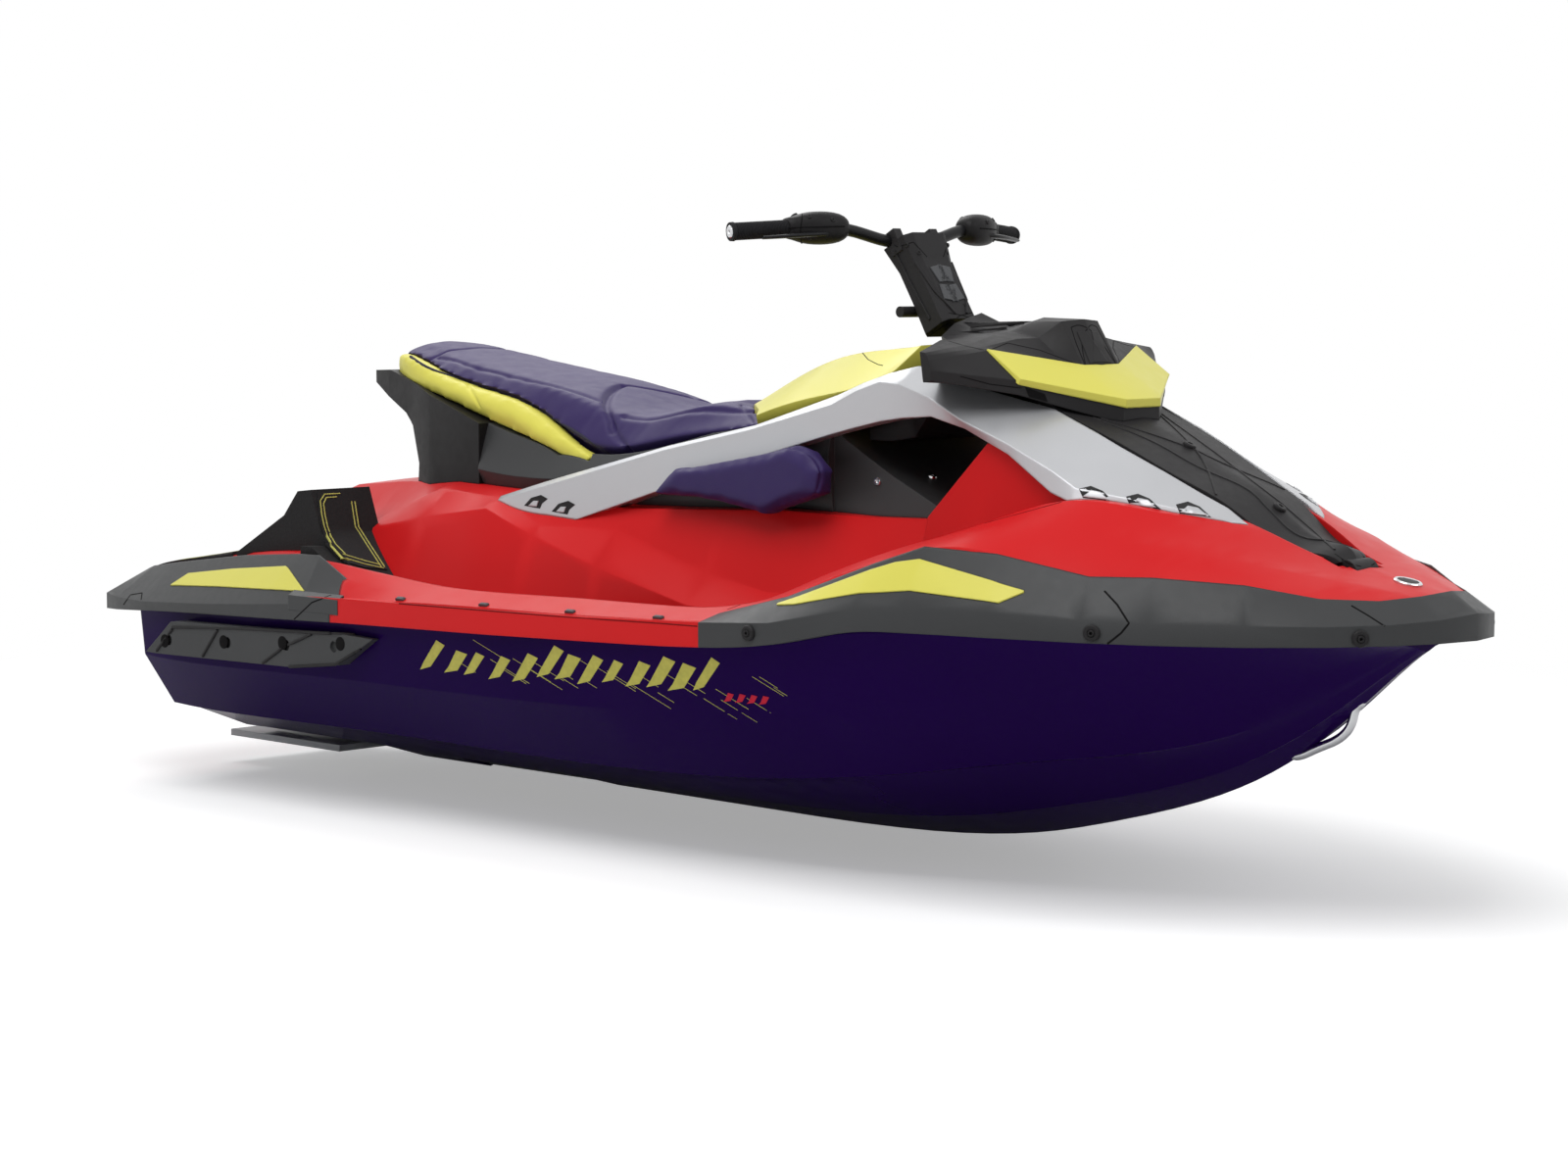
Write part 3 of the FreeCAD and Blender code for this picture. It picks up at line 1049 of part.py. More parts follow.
# The nozzle with the pins of its own pivot and of the bucket's.
nozzle_shell = cut_of(
    "nozzle_shell",
    bound("Part::Cone", "nozzle_outside", AFT, ["Sizes.nozzle_front", "0"] + on_axis,
          Radius1="Sizes.nozzle_radius", Radius2="Sizes.nozzle_end", Height="Sizes.nozzle_length"),
    bound("Part::Cone", "nozzle_inside", AFT, ["Sizes.nozzle_front", "0"] + on_axis,
          Radius1="Sizes.nozzle_radius - Sizes.nozzle_wall", Radius2="Sizes.nozzle_end - Sizes.nozzle_wall",
          Height="Sizes.nozzle_length"))
pins = union_of("pins", [
    bound("Part::Cylinder", "nozzle_pins", UPWARD,
          ["Sizes.pivot_place", "0", "Sizes.pump_axis_height - Sizes.ear_height - 2 * Sizes.nozzle_wall"],
          Radius="Sizes.pivot_radius", Height="2 * Sizes.ear_height + 4 * Sizes.nozzle_wall"),
    bound("Part::Cylinder", "bucket_pins", TO_PORT,
          ["Sizes.bucket_place", "-Sizes.ear_height - 2 * Sizes.nozzle_wall"] + on_axis,
          Radius="Sizes.pivot_radius", Height="2 * Sizes.ear_height + 4 * Sizes.nozzle_wall"),
])
waterway = bound(
    "Part::Cylinder", "waterway", AFT, ["Sizes.nozzle_front + Sizes.overrun", "0"] + on_axis,
    Radius="Sizes.nozzle_radius - 2 * Sizes.nozzle_wall", Height="Sizes.nozzle_length + 2 * Sizes.overrun")
nozzle = union_of("steering_nozzle", [nozzle_shell, cut_of("outer_pins", pins, waterway)])

# The reverse bucket: a sector of a drum round the bucket's pins, with discs round the pins.
bucket_spot = ["Sizes.bucket_place", "-Sizes.bucket_width / 2"] + on_axis
drum = cut_of(
    "drum",
    bound("Part::Cylinder", "drum_outside", TO_PORT, bucket_spot,
          Radius="Sizes.bucket_radius", Height="Sizes.bucket_width"),
    bound("Part::Cylinder", "drum_inside", TO_PORT,
          ["Sizes.bucket_place", "-Sizes.bucket_width / 2 + Sizes.nozzle_wall"] + on_axis,
          Radius="Sizes.bucket_radius - Sizes.bucket_wall", Height="Sizes.bucket_width - 2 * Sizes.nozzle_wall"))
start = math.radians(BUCKET_START - BUCKET_SECTOR)
sector_x = Vector(math.sin(start), 0, math.cos(start))
to_port = Vector(0, 1, 0)
sector = bound(
    "Part::Cylinder", "sector", FreeCAD.Rotation(sector_x, to_port.cross(sector_x), to_port, "ZXY"), bucket_spot,
    Radius="Sizes.bucket_radius + Sizes.moving_gap", Height="Sizes.bucket_width")
sector.Angle = BUCKET_SECTOR
pin_discs = bound(
    "Part::Cylinder", "pin_discs", TO_PORT, bucket_spot,
    Radius="3 * Sizes.pivot_radius", Height="Sizes.bucket_width")
bucket = cut_of(
    "reverse_bucket",
    common_of("drum_sector", drum, union_of("kept_sector", [sector, pin_discs])),
    bound("Part::Cylinder", "pin_bore", TO_PORT, ["Sizes.bucket_place", "-Sizes.bucket_width"] + on_axis,
          Radius="Sizes.pivot_radius + Sizes.running_gap", Height="2 * Sizes.bucket_width"))

# The intake grate: bars along the hull's V and a bar across them.
bar = size("grate_bar_radius")
side_rise = tall * HULL_SHARES[1][2][1] / (half_beam * HULL_SHARES[1][2][0])
grate_rear = half_length * DUCT_SHARES[5][0] - beyond
grate_front = half_length * DUCT_SHARES[4][0] + beyond
grate_bars = []
for out in (-bore / 2, 0, bore / 2):
    up = 2 * bar + side_rise * abs(out)
    grate_bars.append(rod(Vector(grate_rear, out, up), Vector(grate_front, out, up), bar))
cross_x = (grate_rear + grate_front) / 2
for out in (-bore, bore):
    grate_bars.append(rod(Vector(cross_x, 0, 2 * bar), Vector(cross_x, out, 2 * bar + side_rise * bore), bar))
grate = grate_bars[0].fuse(grate_bars[1:]).common(duct)


def eye(name, spot, radius, bore_radius, shank_start, shank_length):
    """A towing eye: a plate with a hole across it, on a shank."""
    along, out, up = spot
    plate = bound(
        "Part::Cylinder", name + "_plate", TO_PORT, [along, out + " - Sizes.eye_thickness / 2", up],
        Radius=radius, Height="Sizes.eye_thickness")
    shank = bound(
        "Part::Box", name + "_shank", UPWARD,
        [shank_start, out + " - Sizes.eye_thickness / 2", up + " - Sizes.eye_thickness"],
        Length=shank_length, Width="Sizes.eye_thickness", Height="2 * Sizes.eye_thickness")
    hole = bound(
        "Part::Cylinder", name + "_hole", TO_PORT, [along, out + " - Sizes.eye_thickness", up],
        Radius=bore_radius, Height="2 * Sizes.eye_thickness")
    return cut_of(name, union_of(name + "_form", [plate, shank]), hole)


bow_spot = ["Sizes.bow_eye_place", "0", "Sizes.bow_eye_height"]
bow_eye = cut_of(
    "bow_eye",
    eye("bow_ring", bow_spot, "Sizes.eye_radius", "Sizes.eye_bore_radius",
        "Sizes.bow_eye_place - 3 * Sizes.eye_shank", "3 * Sizes.eye_shank"),
    form("hull_form", hull))
stern_eyes = []
for name, out in (("stern_eye_left", "Sizes.stern_eye_out"), ("stern_eye_right", "-Sizes.stern_eye_out")):
    stern_eyes.append(eye(
        name, ["Sizes.stern_eye_place", out, "Sizes.stern_eye_height"],
        "Sizes.stern_eye_radius", "Sizes.stern_eye_bore_radius", "Sizes.stern_eye_place", "Sizes.eye_shank"))

engine = bound(
    "Part::Box", "engine_block", UPWARD, [
        "Sizes.engine_middle - Sizes.engine_length / 2", "-Sizes.engine_width / 2",
        "Sizes.engine_floor - Sizes.draft"],
    Length="Sizes.engine_length", Width="Sizes.engine_width", Height="Sizes.engine_tall")
ride_plate = bound(
    "Part::Box", "ride_plate", UPWARD,
    ["Sizes.plate_rear", "-Sizes.ride_plate_width / 2", "Sizes.ride_plate_clearance - Sizes.draft"],
    Length="Sizes.plate_front - Sizes.plate_rear", Width="Sizes.ride_plate_width",
    Height="Sizes.ride_plate_thickness")
bin_spot = ["Sizes.bin_middle - Sizes.bin_length / 2", "-Sizes.bin_width / 2", "Sizes.bin_top - Sizes.bin_depth"]
storage_bin = cut_of(
    "storage_bin",
    bound("Part::Box", "bin_outside", UPWARD, bin_spot,
          Length="Sizes.bin_length", Width="Sizes.bin_width", Height="Sizes.bin_depth"),
    bound("Part::Box", "bin_inside", UPWARD, [corner + " + Sizes.bin_wall" for corner in bin_spot],
          Length="Sizes.bin_length - 2 * Sizes.bin_wall", Width="Sizes.bin_width - 2 * Sizes.bin_wall",
          Height="Sizes.bin_depth"))

shapes = {
    "hull": hull,
    "deck": deck,
    "seat_body": body,
    "platform_mat": platform_mat,
    "bow_bumper": bow_bumper,
    "centre_base": seat_base,
    "tail_support": tail,
    "seat_cushion": cushion,
    "seat_nose": seat_nose,
    "steering_bridge": bridge,
    "intake_grate": grate,
    "hinge_pin": hinge_pin,
    "hood_spine": spine,
    "dash_cowl": cowl,
    "cowl_nose": nose,
    "steering_column": column,
    "handlebar": handlebar,
    "impeller": impeller,
}
paired = {
    "side_arch": arches,
    "footwell_mat": foot_mats,
    "knee_pad": pads,
    "seat_panel": panels,
    "foot_chock": chocks,
    "sponson": sponsons,
    "stern_bumper": stern_bumpers,
    "bow_insert": bow_inserts,
    "stern_insert": stern_inserts,
    "grip": grips,
    "control_pod": pods,
}
for name, pair in paired.items():
    for side, shape in pair.items():
        shapes["%s_%s" % (name, side)] = shape
for name, shape in shapes.items():
    piece(name, form(name, shape))
bound_pieces = {
    "storage_bin": storage_bin,
    "engine_block": engine,
    "pump_housing": housing,
    "ride_plate": ride_plate,
    "bow_eye": bow_eye,
    "stern_eyes": union_of("stern_eyes", stern_eyes),
    "steering_nozzle": nozzle,
    "reverse_bucket": bucket,
}
for name, feature in bound_pieces.items():
    piece(name, feature)

doc.recompute()
faults = []
for feature in doc.Objects:
    if "Invalid" in feature.State or "Error" in feature.State:
        faults.append(feature.Label + " failed")
for feature in pieces:
    if feature.Shape.isNull() or not feature.Shape.isValid() or not feature.Shape.Solids:
        faults.append(feature.Label + " has no valid solid")
    print("%-22s solids %d  litres %9.3f" % (feature.Label, len(feature.Shape.Solids), feature.Shape.Volume / 1e6))
if faults:
    raise SystemExit("; ".join(faults))
os.makedirs("parts", exist_ok=True)
for feature in pieces:
    feature.Shape.exportStep(os.path.join("parts", feature.Label + ".step"))
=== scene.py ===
"""Looks of the personal watercraft: finishes, upholstery, grips, mats, trim, lights and camera."""
import bpy
import bmesh
import json
import math
import random
from collections import namedtuple
import numpy
from mathutils import Matrix, Vector
from mathutils.bvhtree import BVHTree
from mathutils.geometry import delaunay_2d_cdt


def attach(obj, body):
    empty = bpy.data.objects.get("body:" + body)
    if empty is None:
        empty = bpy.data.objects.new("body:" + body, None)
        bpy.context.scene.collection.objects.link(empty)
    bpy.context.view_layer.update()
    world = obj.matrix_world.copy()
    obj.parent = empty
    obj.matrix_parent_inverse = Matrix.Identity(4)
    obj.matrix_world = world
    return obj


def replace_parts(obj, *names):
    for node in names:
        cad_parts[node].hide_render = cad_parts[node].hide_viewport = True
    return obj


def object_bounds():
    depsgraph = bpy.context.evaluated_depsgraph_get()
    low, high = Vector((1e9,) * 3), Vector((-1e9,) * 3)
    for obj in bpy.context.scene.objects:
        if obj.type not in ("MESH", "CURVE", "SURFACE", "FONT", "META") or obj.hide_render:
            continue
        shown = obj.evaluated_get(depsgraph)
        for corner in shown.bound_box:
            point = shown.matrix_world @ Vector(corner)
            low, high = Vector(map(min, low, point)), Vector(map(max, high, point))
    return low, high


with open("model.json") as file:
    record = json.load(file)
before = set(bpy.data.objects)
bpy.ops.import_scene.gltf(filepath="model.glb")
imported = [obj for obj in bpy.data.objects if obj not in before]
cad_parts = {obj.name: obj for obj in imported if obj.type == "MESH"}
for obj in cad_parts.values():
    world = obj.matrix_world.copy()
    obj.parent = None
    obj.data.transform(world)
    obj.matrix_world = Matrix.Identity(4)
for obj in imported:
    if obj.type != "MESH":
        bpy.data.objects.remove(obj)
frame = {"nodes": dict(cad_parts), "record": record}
cad_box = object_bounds()
nodes = frame["nodes"]

# The keel lies this far below the waterline, and the floor a little lower still.
KEEL = -0.24
FLOOR_DROP = 0.035

# Camera: place and view as in the photograph, in metres, degrees and, for the lens, millimetres.
CAMERA_PLACE = Vector((4.5673, -4.6780, 0.7864))
CAMERA_AZIMUTH = 44.186
CAMERA_TILT = 5.233
CAMERA_LENS = 78.75
CAMERA_SENSOR = 36.0
PHOTO_WIDTH = 1600
PHOTO_HEIGHT = 1200
CAMERA_REACH = 200


def linear(red, green, blue):
    """A display colour from 0 to 255 a channel as the linear colour that shaders take."""
    def channel(value):
        share = value / 255
        return share / 12.92 if share <= 0.04045 else ((share + 0.055) / 1.055) ** 2.4
    return (channel(red), channel(green), channel(blue), 1.0)


INDIGO = linear(28, 3, 64)
RED = linear(214, 31, 34)
DEEP_RED = linear(208, 36, 36)
GREY = linear(56, 57, 58)
DARK_GREY = linear(38, 37, 38)
BLACK = linear(25, 24, 25)
MID_GREY = linear(84, 85, 87)
SILVER = linear(186, 187, 190)
PURPLE = linear(50, 37, 87)
YELLOW = linear(228, 221, 96)
DEEP_YELLOW = linear(212, 207, 90)
# The ride plate's grey: partly its own pale grey, partly painted light, made lighter so that the plate looks
# lit in the shade under the hull.
PLATE_GREY_WITH_PAINTED_LIGHT = linear(184, 186, 188)
WHITE = (1.0, 1.0, 1.0, 1.0)

# Finishes: the clear coat's roughness, and samples for rounding edges in the shading.
COAT_ROUGHNESS = 0.06
EDGE_SAMPLES = 4

# Shading: points closer than this are joined, and edges sharper than these angles in degrees stay sharp.
WELD_DISTANCE = 0.00002
CREASE = 26
CREASES = {"bow_bumper": 42, "deck": 16, "hull": 22, "seat_nose": 30, "dash_cowl": 14, "cowl_nose": 14}


def added(tree, kind, given, **settings):
    """The outputs of a new node with its settings, whose inputs take the given numbers, colours or links."""
    made = tree.nodes.new(kind)
    for key, value in settings.items():
        setattr(made, key, value)
    for key, value in given.items():
        if isinstance(value, bpy.types.NodeSocket):
            tree.links.new(value, made.inputs[key])
        else:
            made.inputs[key].default_value = value
    return made.outputs


class Finish:
    """A material with its Principled shader, and short calls for what varies it."""

    def __init__(self, name, color, rough, metal=0.0, coat=0.0, sheen=0.0, spec=0.5, edge=0.0):
        self.material = bpy.data.materials.new(name)
        self.material.use_nodes = True
        self.tree = self.material.node_tree
        self.shader = self.tree.nodes["Principled BSDF"]
        looks = {
            "Base Color": color, "Roughness": rough, "Metallic": metal, "Coat Weight": coat,
            "Coat Roughness": COAT_ROUGHNESS, "Sheen Weight": sheen, "Specular IOR Level": spec}
        for key, value in looks.items():
            self.shader.inputs[key].default_value = value
        self.color = color
        self.place = added(self.tree, "ShaderNodeTexCoord", {})["Object"]
        self.relief = {}
        if edge:
            self.tilt(added(self.tree, "ShaderNodeBevel", {"Radius": edge}, samples=EDGE_SAMPLES))

    def feed(self, name, value):
        """Links a value to one of the shader's inputs."""
        self.tree.links.new(value, self.shader.inputs[name])

    def tilt(self, outputs):
        """Shades with a node's normal, which later relief builds on."""
        self.relief = {"Normal": outputs["Normal"]}
        self.feed("Normal", outputs["Normal"])

    def noise(self, scale, detail):
        """Noise whose features are about one metre over the scale wide."""
        given = {"Vector": self.place, "Scale": scale, "Detail": detail}
        return added(self.tree, "ShaderNodeTexNoise", given)["Fac"]

    def cells(self, scale, feature="F1"):
        """The distance to the nearest or the next of scattered points."""
        given = {"Vector": self.place, "Scale": scale}
        return added(self.tree, "ShaderNodeTexVoronoi", given, feature=feature)["Distance"]

    def spread(self, value, low, high, to_low=0.0, to_high=1.0):
        """Maps a value's range onto another, clamped."""
        given = {"Value": value, "From Min": low, "From Max": high, "To Min": to_low, "To Max": to_high}
        return added(self.tree, "ShaderNodeMapRange", given)["Result"]

    def tint(self, value, low, high, share, other):
        """Mixes another colour into the one so far, up to a share, where a value goes from low to high."""
        given = {"Factor": self.spread(value, low, high, to_high=share), "A": self.color, "B": other}
        self.color = added(self.tree, "ShaderNodeMix", given, data_type="RGBA")["Result"]
        self.feed("Base Color", self.color)

    def gloss(self, scale, detail, low, high):
        """Roughness that wanders between two values in patches of noise."""
        self.feed("Roughness", self.spread(self.noise(scale, detail), 0, 1, low, high))

    def bump(self, height, distance, strength):
        """Adds relief whose full height is a distance in metres, and gives back the finished material."""
        given = {"Height": height, "Distance": distance, "Strength": strength}
        self.tilt(added(self.tree, "ShaderNodeBump", {**given, **self.relief}))
        return self.material


def shade(color, factor):
    """A colour made darker or lighter by a factor."""
    return tuple(min(1.0, channel * factor) for channel in color[:3]) + (1.0,)


def gelcoat():
    """The hull's glossy indigo skin."""
    made = Finish("hull_gelcoat", INDIGO, 0.2, spec=0.05, edge=0.003)
    made.shader.inputs["IOR"].default_value = 1.3
    made.tint(made.noise(2.2, 4), low=0.3, high=0.75, share=0.35, other=shade(INDIGO, 1.5))
    made.gloss(14, 5, low=0.16, high=0.28)
    return made.bump(made.noise(5, 1), distance=0.0006, strength=0.3)


def red_deck():
    """The deck's satin red skin."""
    made = Finish("deck_skin", RED, 0.34, spec=0.1, edge=0.004)
    made.tint(made.noise(1.6, 3), low=0.35, high=0.7, share=0.3, other=DEEP_RED)
    made.gloss(22, 4, low=0.28, high=0.42)
    return made.bump(made.noise(900, 2), distance=0.00006, strength=0.4)


def moulded(name, color, rough, grain=0.00018, spec=0.14, edge=0.003):
    """Moulded plastic with a fine grain of a given depth."""
    made = Finish(name, color, rough, spec=spec, edge=edge)
    made.tint(made.noise(6, 4), low=0.35, high=0.7, share=0.35, other=shade(color, 1.25))
    made.gloss(60, 3, low=rough - 0.08, high=rough + 0.08)
    return made.bump(made.cells(700), distance=grain, strength=0.5)


def metallic(name, color, rough):
    """Metallic paint with fine flakes under a thin clear coat."""
    made = Finish(name, color, rough, metal=0.55, coat=0.2, edge=0.004)
    made.tint(made.cells(1500), low=0.2, high=0.8, share=0.16, other=shade(color, 1.3))
    made.gloss(30, 3, low=rough - 0.06, high=rough + 0.08)
    return made.material


def vinyl(name, color, rough=0.48):
    """Upholstery with a leathery grain."""
    made = Finish(name, color, rough, sheen=0.02, spec=0.2)
    made.tint(made.noise(8, 4), low=0.35, high=0.7, share=0.3, other=shade(color, 1.2))
    made.gloss(35, 3, low=rough - 0.1, high=rough + 0.1)
    return made.bump(made.cells(420, "F2"), distance=0.0003, strength=0.5)


def trim_yellow():
    """The yellow plastic of the cover, the cowl's nose and the bumpers' inserts."""
    made = Finish("trim_yellow", YELLOW, 0.34, coat=0.05, spec=0.25, edge=0.004)
    made.tint(made.noise(5, 3), low=0.3, high=0.7, share=0.3, other=DEEP_YELLOW)
    made.gloss(40, 3, low=0.28, high=0.42)
    return made.bump(made.noise(900, 2), distance=0.00005, strength=0.4)


def foam_mat():
    """Dull black foam with a coarse grain."""
    made = Finish("foam_mat", BLACK, 0.82, spec=0.25, edge=0.002)
    made.tint(made.noise(160, 3), low=0.3, high=0.7, share=0.5, other=shade(BLACK, 1.8))
    return made.bump(made.cells(330), distance=0.0006, strength=0.8)


def cast(name, color, rough):
    """Bare cast metal."""
    made = Finish(name, color, rough, metal=1.0, edge=0.002)
    made.tint(made.noise(12, 5), low=0.35, high=0.7, share=0.4, other=shade(color, 0.72))
    made.gloss(45, 4, low=rough - 0.08, high=rough + 0.14)
    return made.bump(made.noise(260, 4), distance=0.00025, strength=0.5)


def plain(name, color, rough, variation=1.3, metal=0.0, spec=0.4):
    """A finish for small pieces such as lines, stitches and screws."""
    made = Finish(name, color, rough, metal=metal, spec=spec)
    made.tint(made.noise(90, 3), low=0.35, high=0.7, share=0.5, other=shade(color, variation))
    made.gloss(120, 2, low=rough - 0.06, high=rough + 0.06)
    return made.material


# One finish for each of the record's slots, and further ones for parts of a slot and small pieces.
finishes = {
    "hull_indigo": gelcoat(),
    "deck_red": red_deck(),
    "grey_plastic": moulded("grey_plastic", GREY, 0.42, spec=0.24),
    "black_plastic": moulded("black_plastic", BLACK, 0.46),
    "arch_silver": metallic("arch_silver", SILVER, 0.36),
    "seat_purple": vinyl("seat_purple", PURPLE),
    "seat_yellow": vinyl("seat_yellow", YELLOW, 0.44),
    "trim_yellow": trim_yellow(),
    "mat_black": foam_mat(),
    # The ride plate's finish carries painted light: its grey is lighter than the plate's own so that it looks
    # lit in the shade under the hull.
    "plate_grey": moulded("plate_grey", PLATE_GREY_WITH_PAINTED_LIGHT, 0.5),
    "cast_alloy": cast("cast_alloy", linear(150, 152, 155), 0.42),
    "engine_metal": cast("engine_metal", linear(70, 70, 72), 0.6),
    "eye_steel": cast("eye_steel", linear(205, 206, 208), 0.16),
    "bar_black": moulded("bar_black", linear(24, 24, 26), 0.32, 0.0001),
    "grip_rubber": moulded("grip_rubber", linear(30, 30, 32), 0.7, 0.0003, edge=0.0),
}
extra = {
    "dark_grey": moulded("dark_grey", DARK_GREY, 0.48),
    "mid_grey": moulded("mid_grey", MID_GREY, 0.5),
    "gap": plain("gap", linear(12, 11, 12), 0.8, spec=0.1),
    "red_gap": plain("red_gap", linear(110, 14, 16), 0.7, spec=0.1),
    "stitch_dark": plain("stitch_dark", linear(26, 22, 40), 0.75),
    "stitch_yellow": plain("stitch_yellow", linear(190, 188, 96), 0.7),
    "graphic_yellow": plain("graphic_yellow", linear(196, 190, 88), 0.5, 0.7, spec=0.2),
    "graphic_red": plain("graphic_red", linear(196, 20, 50), 0.5, 0.8, spec=0.2),
    "chrome": plain("chrome", linear(214, 215, 217), 0.14, 0.85, metal=1.0),
    "glass_dark": plain("glass_dark", linear(16, 17, 20), 0.12),
}
slot_of = {row["node"]: row["material_slot"] for row in frame["record"]["subparts"]}


def blended_normals():
    """A modifier group that shades smoothly, except across edges sharper than an angle."""
    group = bpy.data.node_groups.new("blended_normals", "GeometryNodeTree")
    group.interface.new_socket("Geometry", in_out="INPUT", socket_type="NodeSocketGeometry")
    group.interface.new_socket("Angle", in_out="INPUT", socket_type="NodeSocketFloat")
    group.interface.new_socket("Geometry", in_out="OUTPUT", socket_type="NodeSocketGeometry")
    given = added(group, "NodeGroupInput", {})
    bend = added(group, "GeometryNodeInputMeshEdgeAngle", {})["Unsigned Angle"]
    blunt = added(group, "FunctionNodeCompare", {"A": bend, "B": given["Angle"]}, operation="LESS_EQUAL")
    faces = added(group, "GeometryNodeSetShadeSmooth", {"Geometry": given["Geometry"]})["Geometry"]
    shaded = {"Geometry": faces, "Shade Smooth": blunt["Result"]}
    edges = added(group, "GeometryNodeSetShadeSmooth", shaded, domain="EDGE")["Geometry"]
    added(group, "NodeGroupOutput", {"Geometry": edges})
    return group, group.interface.items_tree["Angle"].identifier


blend_group, angle_socket = blended_normals()


def smoothed(thing, degrees):
    """Joins doubled points and shades across all but the sharper edges."""
    weld = thing.modifiers.new("weld", "WELD")
    weld.merge_threshold = WELD_DISTANCE
    blended = thing.modifiers.new("blended", "NODES")
    blended.node_group = blend_group
    blended[angle_socket] = math.radians(degrees)


for name, node in nodes.items():
    node.data.materials.clear()
    node.data.materials.append(finishes[slot_of[name]])
    for mark in ("custom_normal", "sharp_edge", "sharp_face"):
        if mark in node.data.attributes:
            node.data.attributes.remove(node.data.attributes[mark])
    smoothed(node, CREASES.get(name, CREASE))
nodes["tail_support"].data.materials[0] = finishes["black_plastic"]
for name in ("steering_column", "dash_cowl", "hood_spine"):
    nodes[name].data.materials[0] = extra["dark_grey"]
nodes["centre_base"].data.materials[0] = finishes["grey_plastic"]

CAMERA_TURN = (
    Matrix.Rotation(math.radians(CAMERA_AZIMUTH), 3, "Z")
    @ Matrix.Rotation(math.radians(90 - CAMERA_TILT), 3, "X"))
# Lines of sight start this high above the craft and this far astern. Laid lines break at longer jumps.
ABOVE = 2
ASTERN = -3
JUMP = 0.06
# A rod steeper than this starts on another direction. Lengths and a square below the smallest are nothing.
STEEP = 0.9
SMALLEST_SIDE = 1e-9
SMALLEST_STEP = 1e-7
SMALLEST_SQUARE = 1e-12

# Kinds of laid piece: a stripe is laid along a path, a skin inside an outline, a head at a spot. A step is
# in pixels or, for paths in metres, in metres. A channel is pressed into a cushion, and a filling swells one.
LINE_STEP = 5.0
Stripe = namedtuple("Stripe", "width height step", defaults=(LINE_STEP,))
Skin = namedtuple("Skin", "lift step")
Head = namedtuple("Head", "radius height", defaults=(0.0015,))
Channel = namedtuple("Channel", "path width depth passes", defaults=(2,))
Filling = namedtuple("Filling", "voxel shrink reach pressure")

# Shares and depths that all laid pieces have in common.
STRIPE_TOP_SHARE = 0.6
STRIPE_SINK = 0.0008
SKIN_SINK = 0.001
SKIN_RIM_SHARE = 0.6
BLOCK_SHOULDER_SHARE = 0.4
BLOCK_TOP_SHARE = 0.8
HEAD_ROOT = -0.002
HEAD_SHARES = ((0.6, 1.0), (1.0, 0.86), (1.0, 0.45), (0.2, 0.4))
ROUND_SIDES = 20
PIECE_CREASE = 35

# Cushions: passes that even out the mesh, the cloth's stiffness and frames, and the spacing along channels.
SMOOTH_FACTOR = 0.5
RELAX_PASSES = 6
SETTLE_PASSES = 5
CLOTH_STIFFNESS = 40
CLOTH_FRAMES = 20
CHANNEL_STEP = 0.01
CHANNEL_STEP_PIXELS = 4.0
skins = {}


def skin_of(names):
    """The joined faces of some CAD nodes or made pieces, to lay things on."""
    if names not in skins:
        points, faces = [], []
        for name in names:
            mesh = (nodes.get(name) or bpy.data.objects[name]).data
            first = len(points)
            points += [vertex.co.copy() for vertex in mesh.vertices]
            faces += [tuple(first + corner for corner in face.vertices) for face in mesh.polygons]
        skins[names] = BVHTree.FromPolygons(points, faces)
    return skins[names]


def from_photo(x, y):
    """The line of sight through a point of the photograph."""
    share = CAMERA_SENSOR / CAMERA_LENS / PHOTO_WIDTH
    way = Vector(((x - PHOTO_WIDTH / 2) * share, (PHOTO_HEIGHT / 2 - y) * share, -1))
    return CAMERA_PLACE, (CAMERA_TURN @ way).normalized()


def from_above(x, y):
    """The line straight down at a place."""
    return Vector((x, y, ABOVE)), Vector((0, 0, -1))


def from_stern(y, z):
    """The line straight forward at a place."""
    return Vector((ASTERN, y, z)), Vector((1, 0, 0))


def seen_at(x, y, side):
    """The point behind a pixel of the photograph on the upright plane at a distance to port."""
    start, way = from_photo(x, y)
    return start + way * ((side - start.y) / way.y)


def landed(spot, names, view=from_photo):
    """Where a line of sight meets the nodes, and the surface's direction there."""
    start, way = view(*spot)
    point, normal, _, _ = skin_of(names).ray_cast(start, way)
    if point is None:
        return None
    return point, normal if normal.dot(way) < 0 else -normal


def spaced(spots, step):
    """The spots of an open line, with more between them no further apart than a step."""
    made = [Vector(spots[0])]
    for first, second in zip(spots, spots[1:]):
        first, second = Vector(first), Vector(second)
        parts = max(1, math.ceil((second - first).length / step))
        made += [first.lerp(second, part / parts) for part in range(1, parts + 1)]
    return made


def rounded(spots, passes=2):
    """A line with its corners cut, again and again, into a curve."""
    spots = [Vector(spot) for spot in spots]
    for _ in range(passes):
        cut = [spots[0]]
        for first, second in zip(spots, spots[1:]):
            cut += [first.lerp(second, 0.25), first.lerp(second, 0.75)]
        spots = cut + [spots[-1]]
    return spots


def reshaped(mesh, work):
    """Works on a mesh's points and faces."""
    shape = bmesh.new()
    shape.from_mesh(mesh)
    work(shape)
    shape.to_mesh(mesh)
    shape.free()


def turns(count):
    """Angles evenly round a circle."""
    return [math.tau * step / count for step in range(count)]


def laid(spots, names, view=from_photo, step=LINE_STEP):
    """A line of spots laid on the nodes: points and surface directions."""
    found = [landed(spot, names, view) for spot in spaced(spots, step)]
    return [pair for pair in found if pair is not None]


def circle(middle, side, above, radius, sides, flat=1.0):
    """Points round a place on two directions, flatter along the second."""
    return [
        middle + (side * math.cos(turn) + above * math.sin(turn) * flat) * radius
        for turn in turns(sides)
    ]


